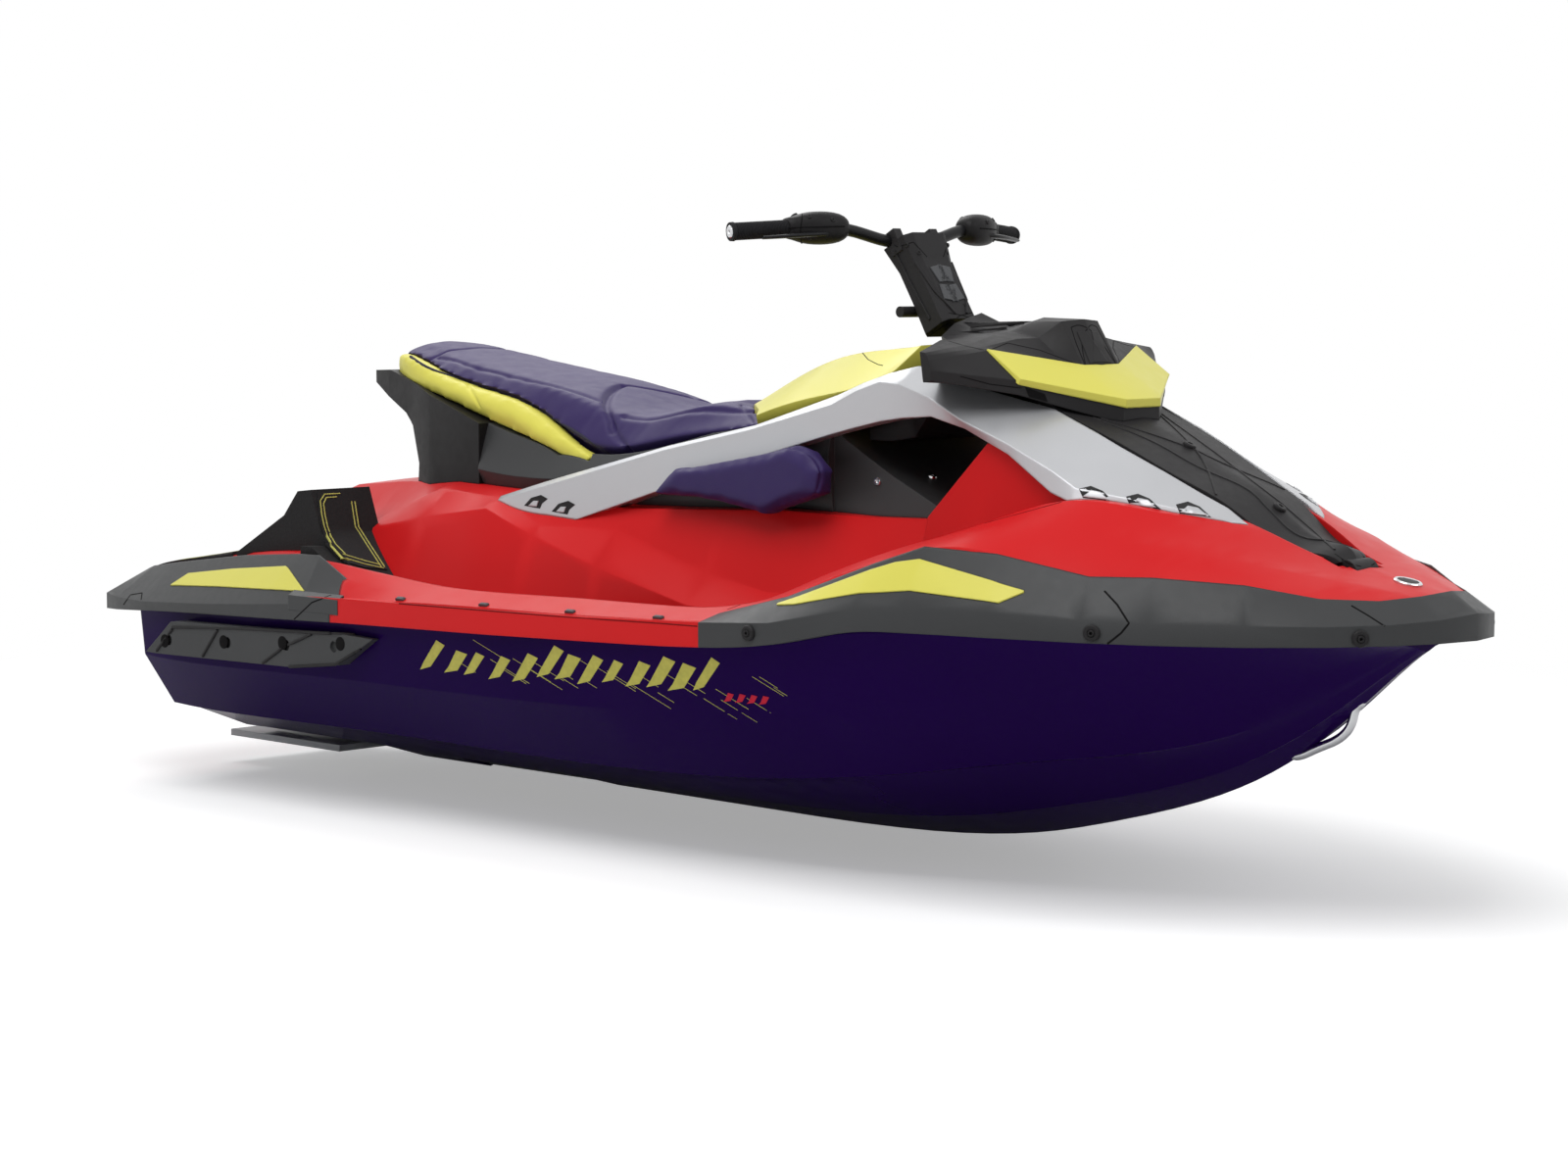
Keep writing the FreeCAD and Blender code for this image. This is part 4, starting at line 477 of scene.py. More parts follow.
class Form:
    """The points and faces of one piece, in metres in the shared frame."""

    def __init__(self):
        self.points = []
        self.faces = []

    def add(self, points, faces):
        """Adds points, and faces between them."""
        first = len(self.points)
        self.points += [Vector(point) for point in points]
        self.faces += [tuple(first + corner for corner in face) for face in faces]
        return self

    def rings(self, rings):
        """A closed skin over rings of points, one after another."""
        count = len(rings[0])
        last = (len(rings) - 1) * count
        faces = [tuple(reversed(range(count))), tuple(range(last, last + count))]
        for row in range(len(rings) - 1):
            low, high = row * count, (row + 1) * count
            for corner in range(count):
                beside = (corner + 1) % count
                faces.append((low + corner, low + beside, high + beside, high + corner))
        return self.add([point for ring in rings for point in ring], faces)

    def tube(self, path, radius, sides, flat=1.0):
        """A rod along points. Its radius is a number or a function of the share along it."""
        path = [Vector(point) for point in path]
        rings = []
        side = None
        for index, point in enumerate(path):
            ahead = (path[min(index + 1, len(path) - 1)] - path[max(index - 1, 0)]).normalized()
            if side is None:
                side = ahead.cross(Vector((0, 0, 1) if abs(ahead.z) < STEEP else (1, 0, 0))).normalized()
            side = (side - ahead * side.dot(ahead)).normalized()
            above = side.cross(ahead)
            size = radius(index / (len(path) - 1)) if callable(radius) else radius
            rings.append(circle(point, side, above, size, sides, flat))
        return self.rings(rings)

    def band(self, line, stripe):
        """A low strip along a line laid on a surface."""
        if len(line) < 2:
            return self
        rings = []
        for index, (point, normal) in enumerate(line):
            ahead = line[min(index + 1, len(line) - 1)][0] - line[max(index - 1, 0)][0]
            side = ahead.cross(normal)
            if side.length < SMALLEST_SIDE:
                continue
            side = side.normalized() * stripe.width / 2
            inner, foot, top = side * STRIPE_TOP_SHARE, normal * STRIPE_SINK, normal * stripe.height
            rings.append([point - side - foot, point - inner + top, point + inner + top, point + side - foot])
        return self.rings(rings) if len(rings) > 1 else self

    def turned(self, base, axis, profile, sides=ROUND_SIDES):
        """A body of revolution: its profile has pairs of the way along the axis and the radius."""
        base, axis = Vector(base), Vector(axis).normalized()
        side = axis.orthogonal().normalized()
        above = axis.cross(side)
        return self.rings([
            circle(base + axis * along, side, above, radius, sides) for along, radius in profile])

    def patch(self, outline, names, skin, view=from_photo):
        """A thin skin laid on the nodes inside an outline, with its rim turned down."""
        step = skin.step
        border = spaced([*outline, outline[0]], step)[:-1]
        count = len(border)
        low = [min(spot[axis] for spot in border) for axis in (0, 1)]
        high = [max(spot[axis] for spot in border) for axis in (0, 1)]
        inner = []
        for column in range(1, int((high[0] - low[0]) / step) + 1):
            for row in range(1, int((high[1] - low[1]) / step) + 1):
                spot = Vector((low[0] + column * step, low[1] + row * step))
                if min((spot - edge).length for edge in border) > step * SKIN_RIM_SHARE:
                    inner.append(spot)
        spots, _, faces, _, _, _ = delaunay_2d_cdt(
            border + inner, [(index, (index + 1) % count) for index in range(count)], [], 1, SMALLEST_STEP)
        found = [landed(spot, names, view) for spot in spots]
        whole = [index for index, pair in enumerate(found) if pair is not None]
        order = {old: new for new, old in enumerate(whole)}
        faces = [face for face in faces if all(corner in order for corner in face)]
        faces = [tuple(order[corner] for corner in face) for face in faces]
        top = [found[index][0] + found[index][1] * skin.lift for index in whole]
        under = [found[index][0] - found[index][1] * SKIN_SINK for index in whole]
        edges = [edge for face in faces for edge in zip(face, face[1:] + face[:1])]
        known = set(edges)
        size = len(top)
        rim = [(end, start, size + start, size + end) for start, end in edges if (end, start) not in known]
        return self.add(top + under, faces + rim)

    def block(self, middle, axes, halves):
        """A small block on three axes, narrower at the end of the third."""
        along, across, up = (Vector(axis).normalized() * half for axis, half in zip(axes, halves))
        corners = ((-1, -1), (1, -1), (1, 1), (-1, 1))
        return self.rings([
            [middle + along * a * share + across * b * share + up * level for a, b in corners]
            for level, share in ((-1, 1), (BLOCK_SHOULDER_SHARE, 1), (1, BLOCK_TOP_SHARE))
        ])

    def mirrored(self):
        """Adds the same again on the other side of the centre plane."""
        points = [Vector((point.x, -point.y, point.z)) for point in self.points]
        return self.add(points, [tuple(reversed(face)) for face in self.faces])

    def made(self, name, slot, body, finish=None, crease=PIECE_CREASE):
        """The object, kept inside the CAD's box. Its finish comes from its slot or by name."""
        mesh = bpy.data.meshes.new(name)
        places = [
            [min(max(value, least), most) for value, least, most in zip(point, *cad_box)]
            for point in self.points
        ]
        mesh.from_pydata(places, [], self.faces)
        mesh.validate()
        reshaped(mesh, lambda shape: bmesh.ops.recalc_face_normals(shape, faces=shape.faces))
        thing = bpy.data.objects.new(name, mesh)
        bpy.context.scene.collection.objects.link(thing)
        mesh.materials.append(extra[finish] if finish else finishes[slot])
        smoothed(thing, crease)
        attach(thing, body)
        return thing


def striped(form, path, names, stripe, view):
    """A stripe laid along a path, broken where the surface jumps."""
    run = []
    for pair in laid(path, names, view, stripe.step):
        if run and (pair[0] - run[-1][0]).length > JUMP:
            form.band(run, stripe)
            run = []
        run.append(pair)
    form.band(run, stripe)


def studded(form, spot, names, head, view):
    """A round screw head with a socket, at a spot."""
    profile = [(HEAD_ROOT, head.radius)] + [(head.height * up, head.radius * out) for up, out in HEAD_SHARES]
    form.turned(*landed(spot, names, view), profile)


def lay(name, slot, body, finish, names, kind, places, view=from_photo):
    """A piece of stripes, skins or screw heads, laid on both sides of the object."""
    form = Form()
    work = {Stripe: striped, Skin: Form.patch, Head: studded}[type(kind)]
    for place in places:
        work(form, place, names, kind, view)
    form.mirrored().made(name, slot, body, finish)


def applied(thing, kind, **settings):
    """Changes a piece for good by a modifier."""
    made = thing.modifiers.new(kind, kind)
    for key, value in settings.items():
        setattr(made, key, value)
    bpy.ops.object.modifier_apply(modifier=made.name)


def filled(thing, filling):
    """Fills a piece out as cloth under pressure, no point further than its reach."""
    scene = bpy.context.scene
    start = [vertex.co.copy() for vertex in thing.data.vertices]
    cloth = thing.modifiers.new("filling", "CLOTH")
    cloth.settings.use_pressure = True
    cloth.settings.uniform_pressure_force = filling.pressure
    cloth.settings.effector_weights.gravity = 0.0
    cloth.settings.tension_stiffness = CLOTH_STIFFNESS
    cloth.settings.compression_stiffness = CLOTH_STIFFNESS
    for count in range(CLOTH_FRAMES):
        scene.frame_set(count + 1)
    bpy.ops.object.modifier_apply(modifier="filling")
    scene.frame_set(1)
    for vertex, first in zip(thing.data.vertices, start):
        move = vertex.co - first
        if move.length > filling.reach:
            vertex.co = first + move * (filling.reach / move.length)


def plump(name, source, filling, slot):
    """A soft piece from a CAD solid: drawn in a little, then filled out."""
    thing = bpy.data.objects.new(name, nodes[source].data.copy())
    bpy.context.scene.collection.objects.link(thing)
    reshaped(thing.data, lambda shape: bmesh.ops.remove_doubles(shape, verts=shape.verts, dist=WELD_DISTANCE))
    bpy.context.view_layer.objects.active = thing
    applied(thing, "REMESH", mode="VOXEL", voxel_size=filling.voxel)
    applied(thing, "SMOOTH", factor=SMOOTH_FACTOR, iterations=RELAX_PASSES)
    for vertex, normal in [(vertex, vertex.normal.copy()) for vertex in thing.data.vertices]:
        vertex.co -= normal * filling.shrink
    filled(thing, filling)
    applied(thing, "SMOOTH", factor=SMOOTH_FACTOR, iterations=SETTLE_PASSES)
    applied(thing, "SUBSURF", levels=1)
    thing.data.materials.clear()
    thing.data.materials.append(finishes[slot])
    for face in thing.data.polygons:
        face.use_smooth = True
    corners = [tuple(face.vertices) for face in thing.data.polygons]
    skins[(name,)] = BVHTree.FromPolygons([vertex.co.copy() for vertex in thing.data.vertices], corners)
    return thing


def sewn(thing, channels, view=from_photo, sides=(1, -1)):
    """Presses sewn channels into a soft piece."""
    step = CHANNEL_STEP_PIXELS if view is from_photo else CHANNEL_STEP
    mesh = thing.data
    spots = numpy.empty(len(mesh.vertices) * 3)
    normals = numpy.empty(len(mesh.vertices) * 3)
    mesh.vertices.foreach_get("co", spots)
    mesh.vertices.foreach_get("normal", normals)
    spots, normals = spots.reshape(-1, 3), normals.reshape(-1, 3)
    pressed = numpy.zeros(len(spots))
    for path, width, depth, passes in channels:
        line = [point for point, _ in laid(rounded(path, passes), (thing.name,), view, step)]
        for side in sides:
            way = [numpy.array((point.x, point.y * side, point.z)) for point in line]
            away = numpy.full(len(spots), 1.0)
            for first, second in zip(way, way[1:]):
                run = second - first
                share = numpy.clip((spots - first) @ run / max(run @ run, SMALLEST_SQUARE), 0, 1)
                away = numpy.minimum(away, numpy.linalg.norm(spots - first - share[:, None] * run, axis=1))
            pressed = numpy.maximum(pressed, depth * numpy.exp(-2 * (away / width) ** 2))
    spots -= normals * pressed[:, None]
    mesh.vertices.foreach_set("co", spots.ravel())
    mesh.update()


# Upholstery: how each kind is filled, and its seams, in metres from above or as pixels of the photograph.
SEAT_FILLING = Filling(voxel=0.007, shrink=0.002, reach=0.010, pressure=4.0)
PANEL_FILLING = Filling(voxel=0.006, shrink=0.001, reach=0.008, pressure=5.0)
PAD_FILLING = Filling(voxel=0.006, shrink=0.003, reach=0.008, pressure=5.0)
SEAT_CHANNELS = (
    Channel(((-0.425, 0), (-0.414, 0.03), (-0.383, 0.08), (-0.324, 0.143), (-0.272, 0.175)), 0.011, 0.009),
    Channel(
        ((-0.86, 0.112), (-0.777, 0.122), (-0.557, 0.133), (-0.42, 0.132), (-0.345, 0.128)), 0.008, 0.004),
    Channel(((-0.26, 0.152), (-0.064, 0.158), (0.10, 0.158)), 0.010, 0.006, 0),
    Channel(((-0.86, 0.0), (-0.862, 0.06), (-0.872, 0.112), (-0.90, 0.14)), 0.007, 0.004),
)
SEAT_PIXEL_CHANNELS = (
    Channel(((623, 434), (631, 448), (643, 461)), 0.010, 0.006, 0),
    Channel(((757, 413), (760, 420), (768, 431)), 0.005, 0.003, 0),
)
PANEL_PIXEL_CHANNELS = (Channel(((475, 385), (480, 398), (489, 415)), 0.005, 0.003, 0),)
PAD_PIXEL_CHANNELS = (Channel(((800, 455), (829, 462), (841, 484), (826, 520)), 0.006, 0.003),)
PIPING_PIXELS = rounded(((419, 364), (434, 376), (479, 390), (541, 410), (581, 437), (632, 469)))
PIPING_RADIUS = 0.0034
PIPING_SIDES = 8
PIPING_PASSES = 12
PIPING_CREASE = 60


def stands_for(thing, node):
    """The piece takes the place of a CAD node, on the craft."""
    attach(thing, "craft")
    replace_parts(thing, node)


def upholstery():
    """Seat, side panels and knee pads, with the seams that the photograph shows."""
    seat = plump("seat", "seat_cushion", SEAT_FILLING, "seat_purple")
    sewn(seat, SEAT_CHANNELS, from_above)
    sewn(seat, SEAT_PIXEL_CHANNELS)
    stands_for(seat, "seat_cushion")
    for side in ("left", "right"):
        panel = plump("panel_" + side, "seat_panel_" + side, PANEL_FILLING, "seat_yellow")
        pad = plump("knee_pad_" + side + "_vinyl", "knee_pad_" + side, PAD_FILLING, "seat_purple")
        if side == "right":
            sewn(panel, PANEL_PIXEL_CHANNELS, sides=(1,))
            sewn(pad, PAD_PIXEL_CHANNELS, sides=(1,))
        stands_for(panel, "seat_panel_" + side)
        stands_for(pad, "knee_pad_" + side)
    course = [point for point, _ in laid(PIPING_PIXELS, ("seat", "panel_right"))]
    for _ in range(PIPING_PASSES):
        beside = zip(course, course[1:], course[2:])
        course[1:-1] = [(before + point * 2 + after) / 4 for before, point, after in beside]
    piping = Form().tube(course, PIPING_RADIUS, PIPING_SIDES).mirrored()
    piping.made("seat_piping", "seat_purple", "craft", "stitch_dark", PIPING_CREASE)


# Grips: the bar's end and bend on the port side. Profiles are ways along the bar, with radii.
GRIP_END = Vector((0.2614, 0.378, 0.8606))
GRIP_BEND = Vector((0.3005, 0.2599, 0.8675))
GRIP_RADIUS = 0.0146
GRIP_SIDES = 28
RIB_RADIUS = 0.0158
RIB_COUNT = 36
RIB_START = 0.004
RIB_PITCH = 0.003
RIB_PROFILE = ((0.0, GRIP_RADIUS), (0.0007, RIB_RADIUS), (0.0019, RIB_RADIUS), (0.0026, GRIP_RADIUS))
GRIP_CAP = [(-0.005, 0.0120), (-0.005, 0.0168), (0.001, 0.0172), (0.002, GRIP_RADIUS)]
GRIP_COLLAR = [(0.1135, 0.0152), (0.1145, 0.0186), (0.118, 0.0186), (0.118, 0.012)]
END_WEIGHT = ((-0.002, 0.0115), (0.0056, 0.0115), (0.0072, 0.0098), (0.0072, 0.004), (0.005, 0.003))
LEVER_PATH = rounded((
    (0.332, 0.205, 0.858), (0.342, 0.232, 0.857), (0.336, 0.270, 0.855), (0.318, 0.315, 0.852),
    (0.304, 0.346, 0.850)))
LEVER_ROOT = 0.0085
LEVER_TAPER = 0.0030
LEVER_SIDES = 10
LEVER_FLAT = 0.6


def grips():
    """Ribbed grips with their end weights, and the finger levers in front of them."""
    axis = (GRIP_BEND - GRIP_END).normalized()
    starts = [RIB_START + index * RIB_PITCH for index in range(RIB_COUNT)]
    ribs = [(start + along, radius) for start in starts for along, radius in RIB_PROFILE]
    profile = GRIP_CAP + ribs + GRIP_COLLAR
    for side, name in ((1, "grip_left"), (-1, "grip_right")):
        flip = Vector((1, side, 1))
        ribbed = Form().turned(GRIP_END * flip, axis * flip, profile, GRIP_SIDES)
        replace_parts(ribbed.made(name + "_ribbed", "grip_rubber", "steering"), name)
    weights = Form().turned(GRIP_END, -axis, END_WEIGHT).mirrored()
    weights.made("bar_end_weights", "eye_steel", "steering", "chrome")
    levers = Form().tube(LEVER_PATH, lambda share: LEVER_ROOT - LEVER_TAPER * share, LEVER_SIDES, LEVER_FLAT)
    levers.mirrored().made("levers", "bar_black", "steering")


# Switch pods: sections between two ends, each with its share of the way, half depth and half height. Buttons:
# places with radii, and a profile whose radii are shares of these.
POD_INNER = Vector((0.3265, 0.160, 0.8685))
POD_OUTER = Vector((0.2965, 0.284, 0.8672))
POD_SECTIONS = (
    (0.0, 0.013, 0.013), (0.05, 0.022, 0.020), (0.16, 0.028, 0.027), (0.34, 0.031, 0.030),
    (0.52, 0.031, 0.030), (0.68, 0.028, 0.028), (0.80, 0.022, 0.023), (0.91, 0.0185, 0.0195),
    (1.0, 0.0175, 0.018))
POD_BOW = 0.004
POD_ROUNDNESS = 0.8
POD_SIDES = 28
POD_CREASE = 50
BUTTON_PLACES = ((0.295, 0.195, 0.008), (0.291, 0.222, 0.008), (0.288, 0.250, 0.009))
BUTTON_PROFILE = ((-0.003, 1.0), (0.002, 1.0), (0.0032, 0.8))
BUTTON_CENTRE = (0.0032, 0.001)


def pods():
    """Rounded switch pods with their buttons."""
    for side, name in ((1, "left"), (-1, "right")):
        rings = []
        for share, deep, tall in POD_SECTIONS:
            x, y, z = POD_INNER.lerp(POD_OUTER, share)
            x += POD_BOW * math.sin(math.pi * share)
            ring = []
            for turn in turns(POD_SIDES):
                ways = (math.cos(turn), math.sin(turn))
                across, up = (math.copysign(abs(way) ** POD_ROUNDNESS, way) for way in ways)
                ring.append((x + deep * across, y * side, z + tall * up))
            rings.append(ring)
        shell = Form().rings(rings).made("pod_" + name, "black_plastic", "steering", crease=POD_CREASE)
        rounder = shell.modifiers.new("rounder", "SUBSURF")
        rounder.levels = rounder.render_levels = 1
        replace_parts(shell, "control_pod_" + name)
    buttons = Form()
    for x, y, radius in BUTTON_PLACES:
        profile = [(along, radius * share) for along, share in BUTTON_PROFILE] + [BUTTON_CENTRE]
        buttons.turned(*landed((x, y), ("pod_left",), from_above), profile)
    buttons.mirrored().made("pod_buttons", "black_plastic", "steering", "dark_grey")


# The bridge is drawn in and lowered aft of two places, over a short run forward.
BRIDGE_AFT_SHARE = 0.8
BRIDGE_NARROW_PLACE = 0.5
BRIDGE_LOW_PLACE = 0.56
BRIDGE_RUN = 0.06
BRIDGE_DROP = 0.035


def clamped(value):
    """A number brought between zero and one."""
    return min(1.0, max(0.0, value))


def bridge():
    """The bridge under the steering, drawn in at its aft end to lie inside the yellow cover."""
    mesh = nodes["steering_bridge"].data.copy()
    for vertex in mesh.vertices:
        kept = clamped((vertex.co.x - BRIDGE_NARROW_PLACE) / BRIDGE_RUN)
        vertex.co.y *= BRIDGE_AFT_SHARE + (1 - BRIDGE_AFT_SHARE) * kept
        vertex.co.z -= BRIDGE_DROP * clamped((BRIDGE_LOW_PLACE - vertex.co.x) / BRIDGE_RUN)
    thing = bpy.data.objects.new("bridge", mesh)
    bpy.context.scene.collection.objects.link(thing)
    smoothed(thing, CREASE)
    stands_for(thing, "steering_bridge")


# The hood's plugs, and the display's outlines seen from the stern, in metres.
PLUG_PLACES = (0.985, 1.175)
PLUG_PROFILE = ((-0.003, 0.012), (0.003, 0.012), (0.005, 0.010), (0.005, 0.005), (0.001, 0.004))
SURROUND = Skin(0.004, 0.012)
SURROUND_OUTLINE = ((-0.085, 0.640), (0.085, 0.640), (0.062, 0.700), (-0.062, 0.700))
DISPLAY = Skin(0.0052, 0.012)
DISPLAY_OUTLINE = ((-0.068, 0.648), (0.068, 0.648), (0.052, 0.694), (-0.052, 0.694))


def hood():
    """The spine's plugs and the display with its frame."""
    plugs = Form()
    for x in PLUG_PLACES:
        plugs.turned(*landed((x, 0), ("hood_spine",), from_above), PLUG_PROFILE)
    plugs.made("spine_plugs", "grey_plastic", "hood", "dark_grey")
    surround = Form().patch(SURROUND_OUTLINE, ("dash_cowl",), SURROUND, from_stern)
    surround.made("display_frame", "black_plastic", "hood")
    display = Form().patch(DISPLAY_OUTLINE, ("dash_cowl",), DISPLAY, from_stern)
    display.made("display", "black_plastic", "hood", "glass_dark")


# The stern bumper's forward end: places on its outer face, with a section of ways inward and heights. Bolt
# holes as pixels, on the sponson's outer face. Clips on the side rail as pixels, with half sizes.
STERN_END_PLACES = ((-0.800, -0.5523), (-0.640, -0.5570))
STERN_END_SECTION = ((0.024, 0.130), (0.0, 0.130), (0.0, 0.159), (0.016, 0.168))
SPONSON_FACE = -0.5510
HOLE_PIXELS = ((168, 654), (228, 655), (288, 656), (347, 657))
HOLE_PROFILE = ((-0.004, 0.0135), (0.0004, 0.0135), (0.0008, 0.012), (0.0008, 0.002))
CLIP_PIXELS = ((409, 612), (494, 618), (582, 625), (672, 631))
CLIP_HALVES = (0.011, 0.004, 0.003)
CLIP_LIFT = 0.002


def side_trim():
    """Forward ends of the stern bumpers, dark bolt holes on the sponsons and clips on the side rails."""
    rings = [[(x, y + inward, z) for inward, z in STERN_END_SECTION] for x, y in STERN_END_PLACES]
    Form().rings(rings).mirrored().made("stern_ends", "grey_plastic", "craft")
    holes = Form()
    for x, y in HOLE_PIXELS:
        holes.turned(seen_at(x, y, SPONSON_FACE), (0, -1, 0), HOLE_PROFILE)
    holes.mirrored().made("sponson_holes", "grey_plastic", "craft", "gap")
    forward = Vector((1, 0, 0))
    clips = Form()
    for spot in CLIP_PIXELS:
        point, normal = landed(spot, ("deck",))
        clips.block(point + normal * CLIP_LIFT, (forward, normal.cross(forward), normal), CLIP_HALVES)
    clips.mirrored().made("rail_clips", "eye_steel", "craft", "mid_grey")


# Bow: the towing loop on the centre plane and the disc's place, as pixels, and the disc's profiles.
LOOP_PIXELS = (
    (1385, 708), (1391, 716), (1383, 722), (1379, 742), (1366, 755), (1345, 763), (1326, 772), (1318, 770))
LOOP_RADIUS = 0.008
LOOP_SIDES = 14
DISC_PIXEL = (1424, 597)
DISC_SIDES = 32
DISC_RIM_PROFILE = ((-0.004, 0.024), (0.003, 0.024), (0.0045, 0.0225), (0.0045, 0.018), (-0.002, 0.017))
DISC_PROFILE = ((-0.003, 0.0175), (0.0034, 0.0175), (0.004, 0.014), (0.004, 0.002))


def bow():
    """The bright loop on the stem and the bare disc on the bow deck."""
    loop = rounded([seen_at(x, y, 0) for x, y in LOOP_PIXELS])
    made = Form().tube(loop, LOOP_RADIUS, LOOP_SIDES).made("bow_loop", "eye_steel", "craft", "chrome")
    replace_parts(made, "bow_eye")
    seen, _ = landed(DISC_PIXEL, ("deck",))
    point, normal = landed((seen.x, 0), ("deck",), from_above)
    for name, profile, finish in (
            ("bow_disc_rim", DISC_RIM_PROFILE, "chrome"), ("bow_disc", DISC_PROFILE, "dark_grey")):
        Form().turned(point, normal, profile, DISC_SIDES).made(name, "eye_steel", "craft", finish)


# Vents in the arches: pixels of the front and rear ones, and their outlines about such a pixel.
FRONT_VENTS = ((1101, 497), (1149, 505), (1200, 513))
FRONT_SLOT = ((0, 2), (12, -1), (24, 4), (36, 15), (22, 13), (4, 11))
FRONT_FIN = ((4, 10), (12, 4), (22, 6), (31, 13), (20, 12))
REAR_VENTS = ((535, 507), (563, 513))
REAR_SLOT = ((0, 9), (7, 1), (17, -2), (24, 2), (18, 7), (16, 12))
REAR_FIN = ((5, 9), (10, 4), (15, 4), (13, 10))

# Mats: stitches are drawn on the chock's edge and once more inside it. Ribs run between two ends in metres,
# each a pitch from the last.
STITCH_INSET_PIXELS = (0, 3.4)
PLATFORM_RIBS = 11
PLATFORM_RIB_PITCH = 0.03
PLATFORM_RIB_AFT = -1.445
PLATFORM_RIB_FORWARD = -1.15
WELL_RIBS = 24
WELL_RIB_PITCH = 0.035
WELL_RIB_INNER = Vector((-0.54, 0.36))
WELL_RIB_OUTER = Vector((-0.52, 0.455))


def repeated(outline, places):
    """The outline moved to each place."""
    return [[(x + right, y + down) for right, down in outline] for x, y in places]


def stitches(inset):
    """The chock's three runs of stitches, drawn in by an inset in pixels."""
    outer = (
        (346 - inset, 504 + inset), (325 + inset, 505 + inset), (328 + inset, 532), (335 + inset, 553),
        (350 + inset / 2, 570 - inset))
    return [
        rounded(outer, 1),
        ((349, 570 - inset), (372, 577 - inset), (391 - inset, 581 - inset)),
        ((361 - inset, 512), (365 - inset, 538), (377 - inset, 557), (392 - inset, 580)),
    ]


vent_slots = repeated(FRONT_SLOT, FRONT_VENTS) + repeated(REAR_SLOT, REAR_VENTS)
vent_fins = repeated(FRONT_FIN, FRONT_VENTS) + repeated(REAR_FIN, REAR_VENTS)
stitch_runs = [run for inset in STITCH_INSET_PIXELS for run in stitches(inset)]
rib_sides = [PLATFORM_RIB_PITCH + PLATFORM_RIB_PITCH * row for row in range(PLATFORM_RIBS)]
platform_ribs = [((PLATFORM_RIB_AFT, y), (PLATFORM_RIB_FORWARD, y)) for y in rib_sides]
rib_steps = [Vector((WELL_RIB_PITCH * row, 0)) for row in range(WELL_RIBS)]
well_ribs = [(WELL_RIB_INNER + step, WELL_RIB_OUTER + step) for step in rib_steps]

# Graphics on the hull, in pixels: rows of strokes, scratches and accents, each from a first place, with a
# pitch and a stray. A stroke's corners are shares of its width to the right and of its height right and up.
GRAPHIC_SEED = 7
SLASH_SHARES = ((0, 0, 0), (0.4, 0, 0.25), (0, 0.55, 1), (1, 0.55, 0.82), (1.25, 0, 0.1))
STROKES = 13
STROKE_FIRST = (430, 685)
STROKE_PITCH = (23, 1.7)
STROKE_STRAY = ((-3, 3), (-3, 4))
STROKE_HEIGHT = (22, 34)
STROKE_WIDTH = (8, 14)
SCRATCHES = 26
SCRATCH_FIRST = (470, 650)
SCRATCH_PITCH = (13, 1.6)
SCRATCH_STRAY = ((-8, 8), (0, 34))
SCRATCH_REACH = (12, 44)
SCRATCH_SLOPE = 0.62
ACCENT_PIXELS = ((738, 716), (750, 717), (762, 718), (774, 719))
ACCENT_HEIGHT = 9
ACCENT_WIDTH = 6
chance = random.Random(GRAPHIC_SEED)


def strewn(count, first, pitch, stray):
    """Places in a row, each a little out of it by chance."""
    for index in range(count):
        yield [
            start + index * step + chance.uniform(*reach)
            for start, step, reach in zip(first, pitch, stray)
        ]


def slash(x, y, height, width):
    """A slanted brush stroke with pointed ends."""
    return [(x + width * out + height * lean, y - height * up) for out, lean, up in SLASH_SHARES]


strokes = [
    slash(x, y, chance.uniform(*STROKE_HEIGHT), chance.uniform(*STROKE_WIDTH))
    for x, y in strewn(STROKES, STROKE_FIRST, STROKE_PITCH, STROKE_STRAY)]
scratches = []
for x, y in strewn(SCRATCHES, SCRATCH_FIRST, SCRATCH_PITCH, SCRATCH_STRAY):
    reach = chance.uniform(*SCRATCH_REACH)
    scratches.append(((x, y), (x + reach, y + reach * SCRATCH_SLOPE)))
accents = [slash(x, y, ACCENT_HEIGHT, ACCENT_WIDTH) for x, y in ACCENT_PIXELS]

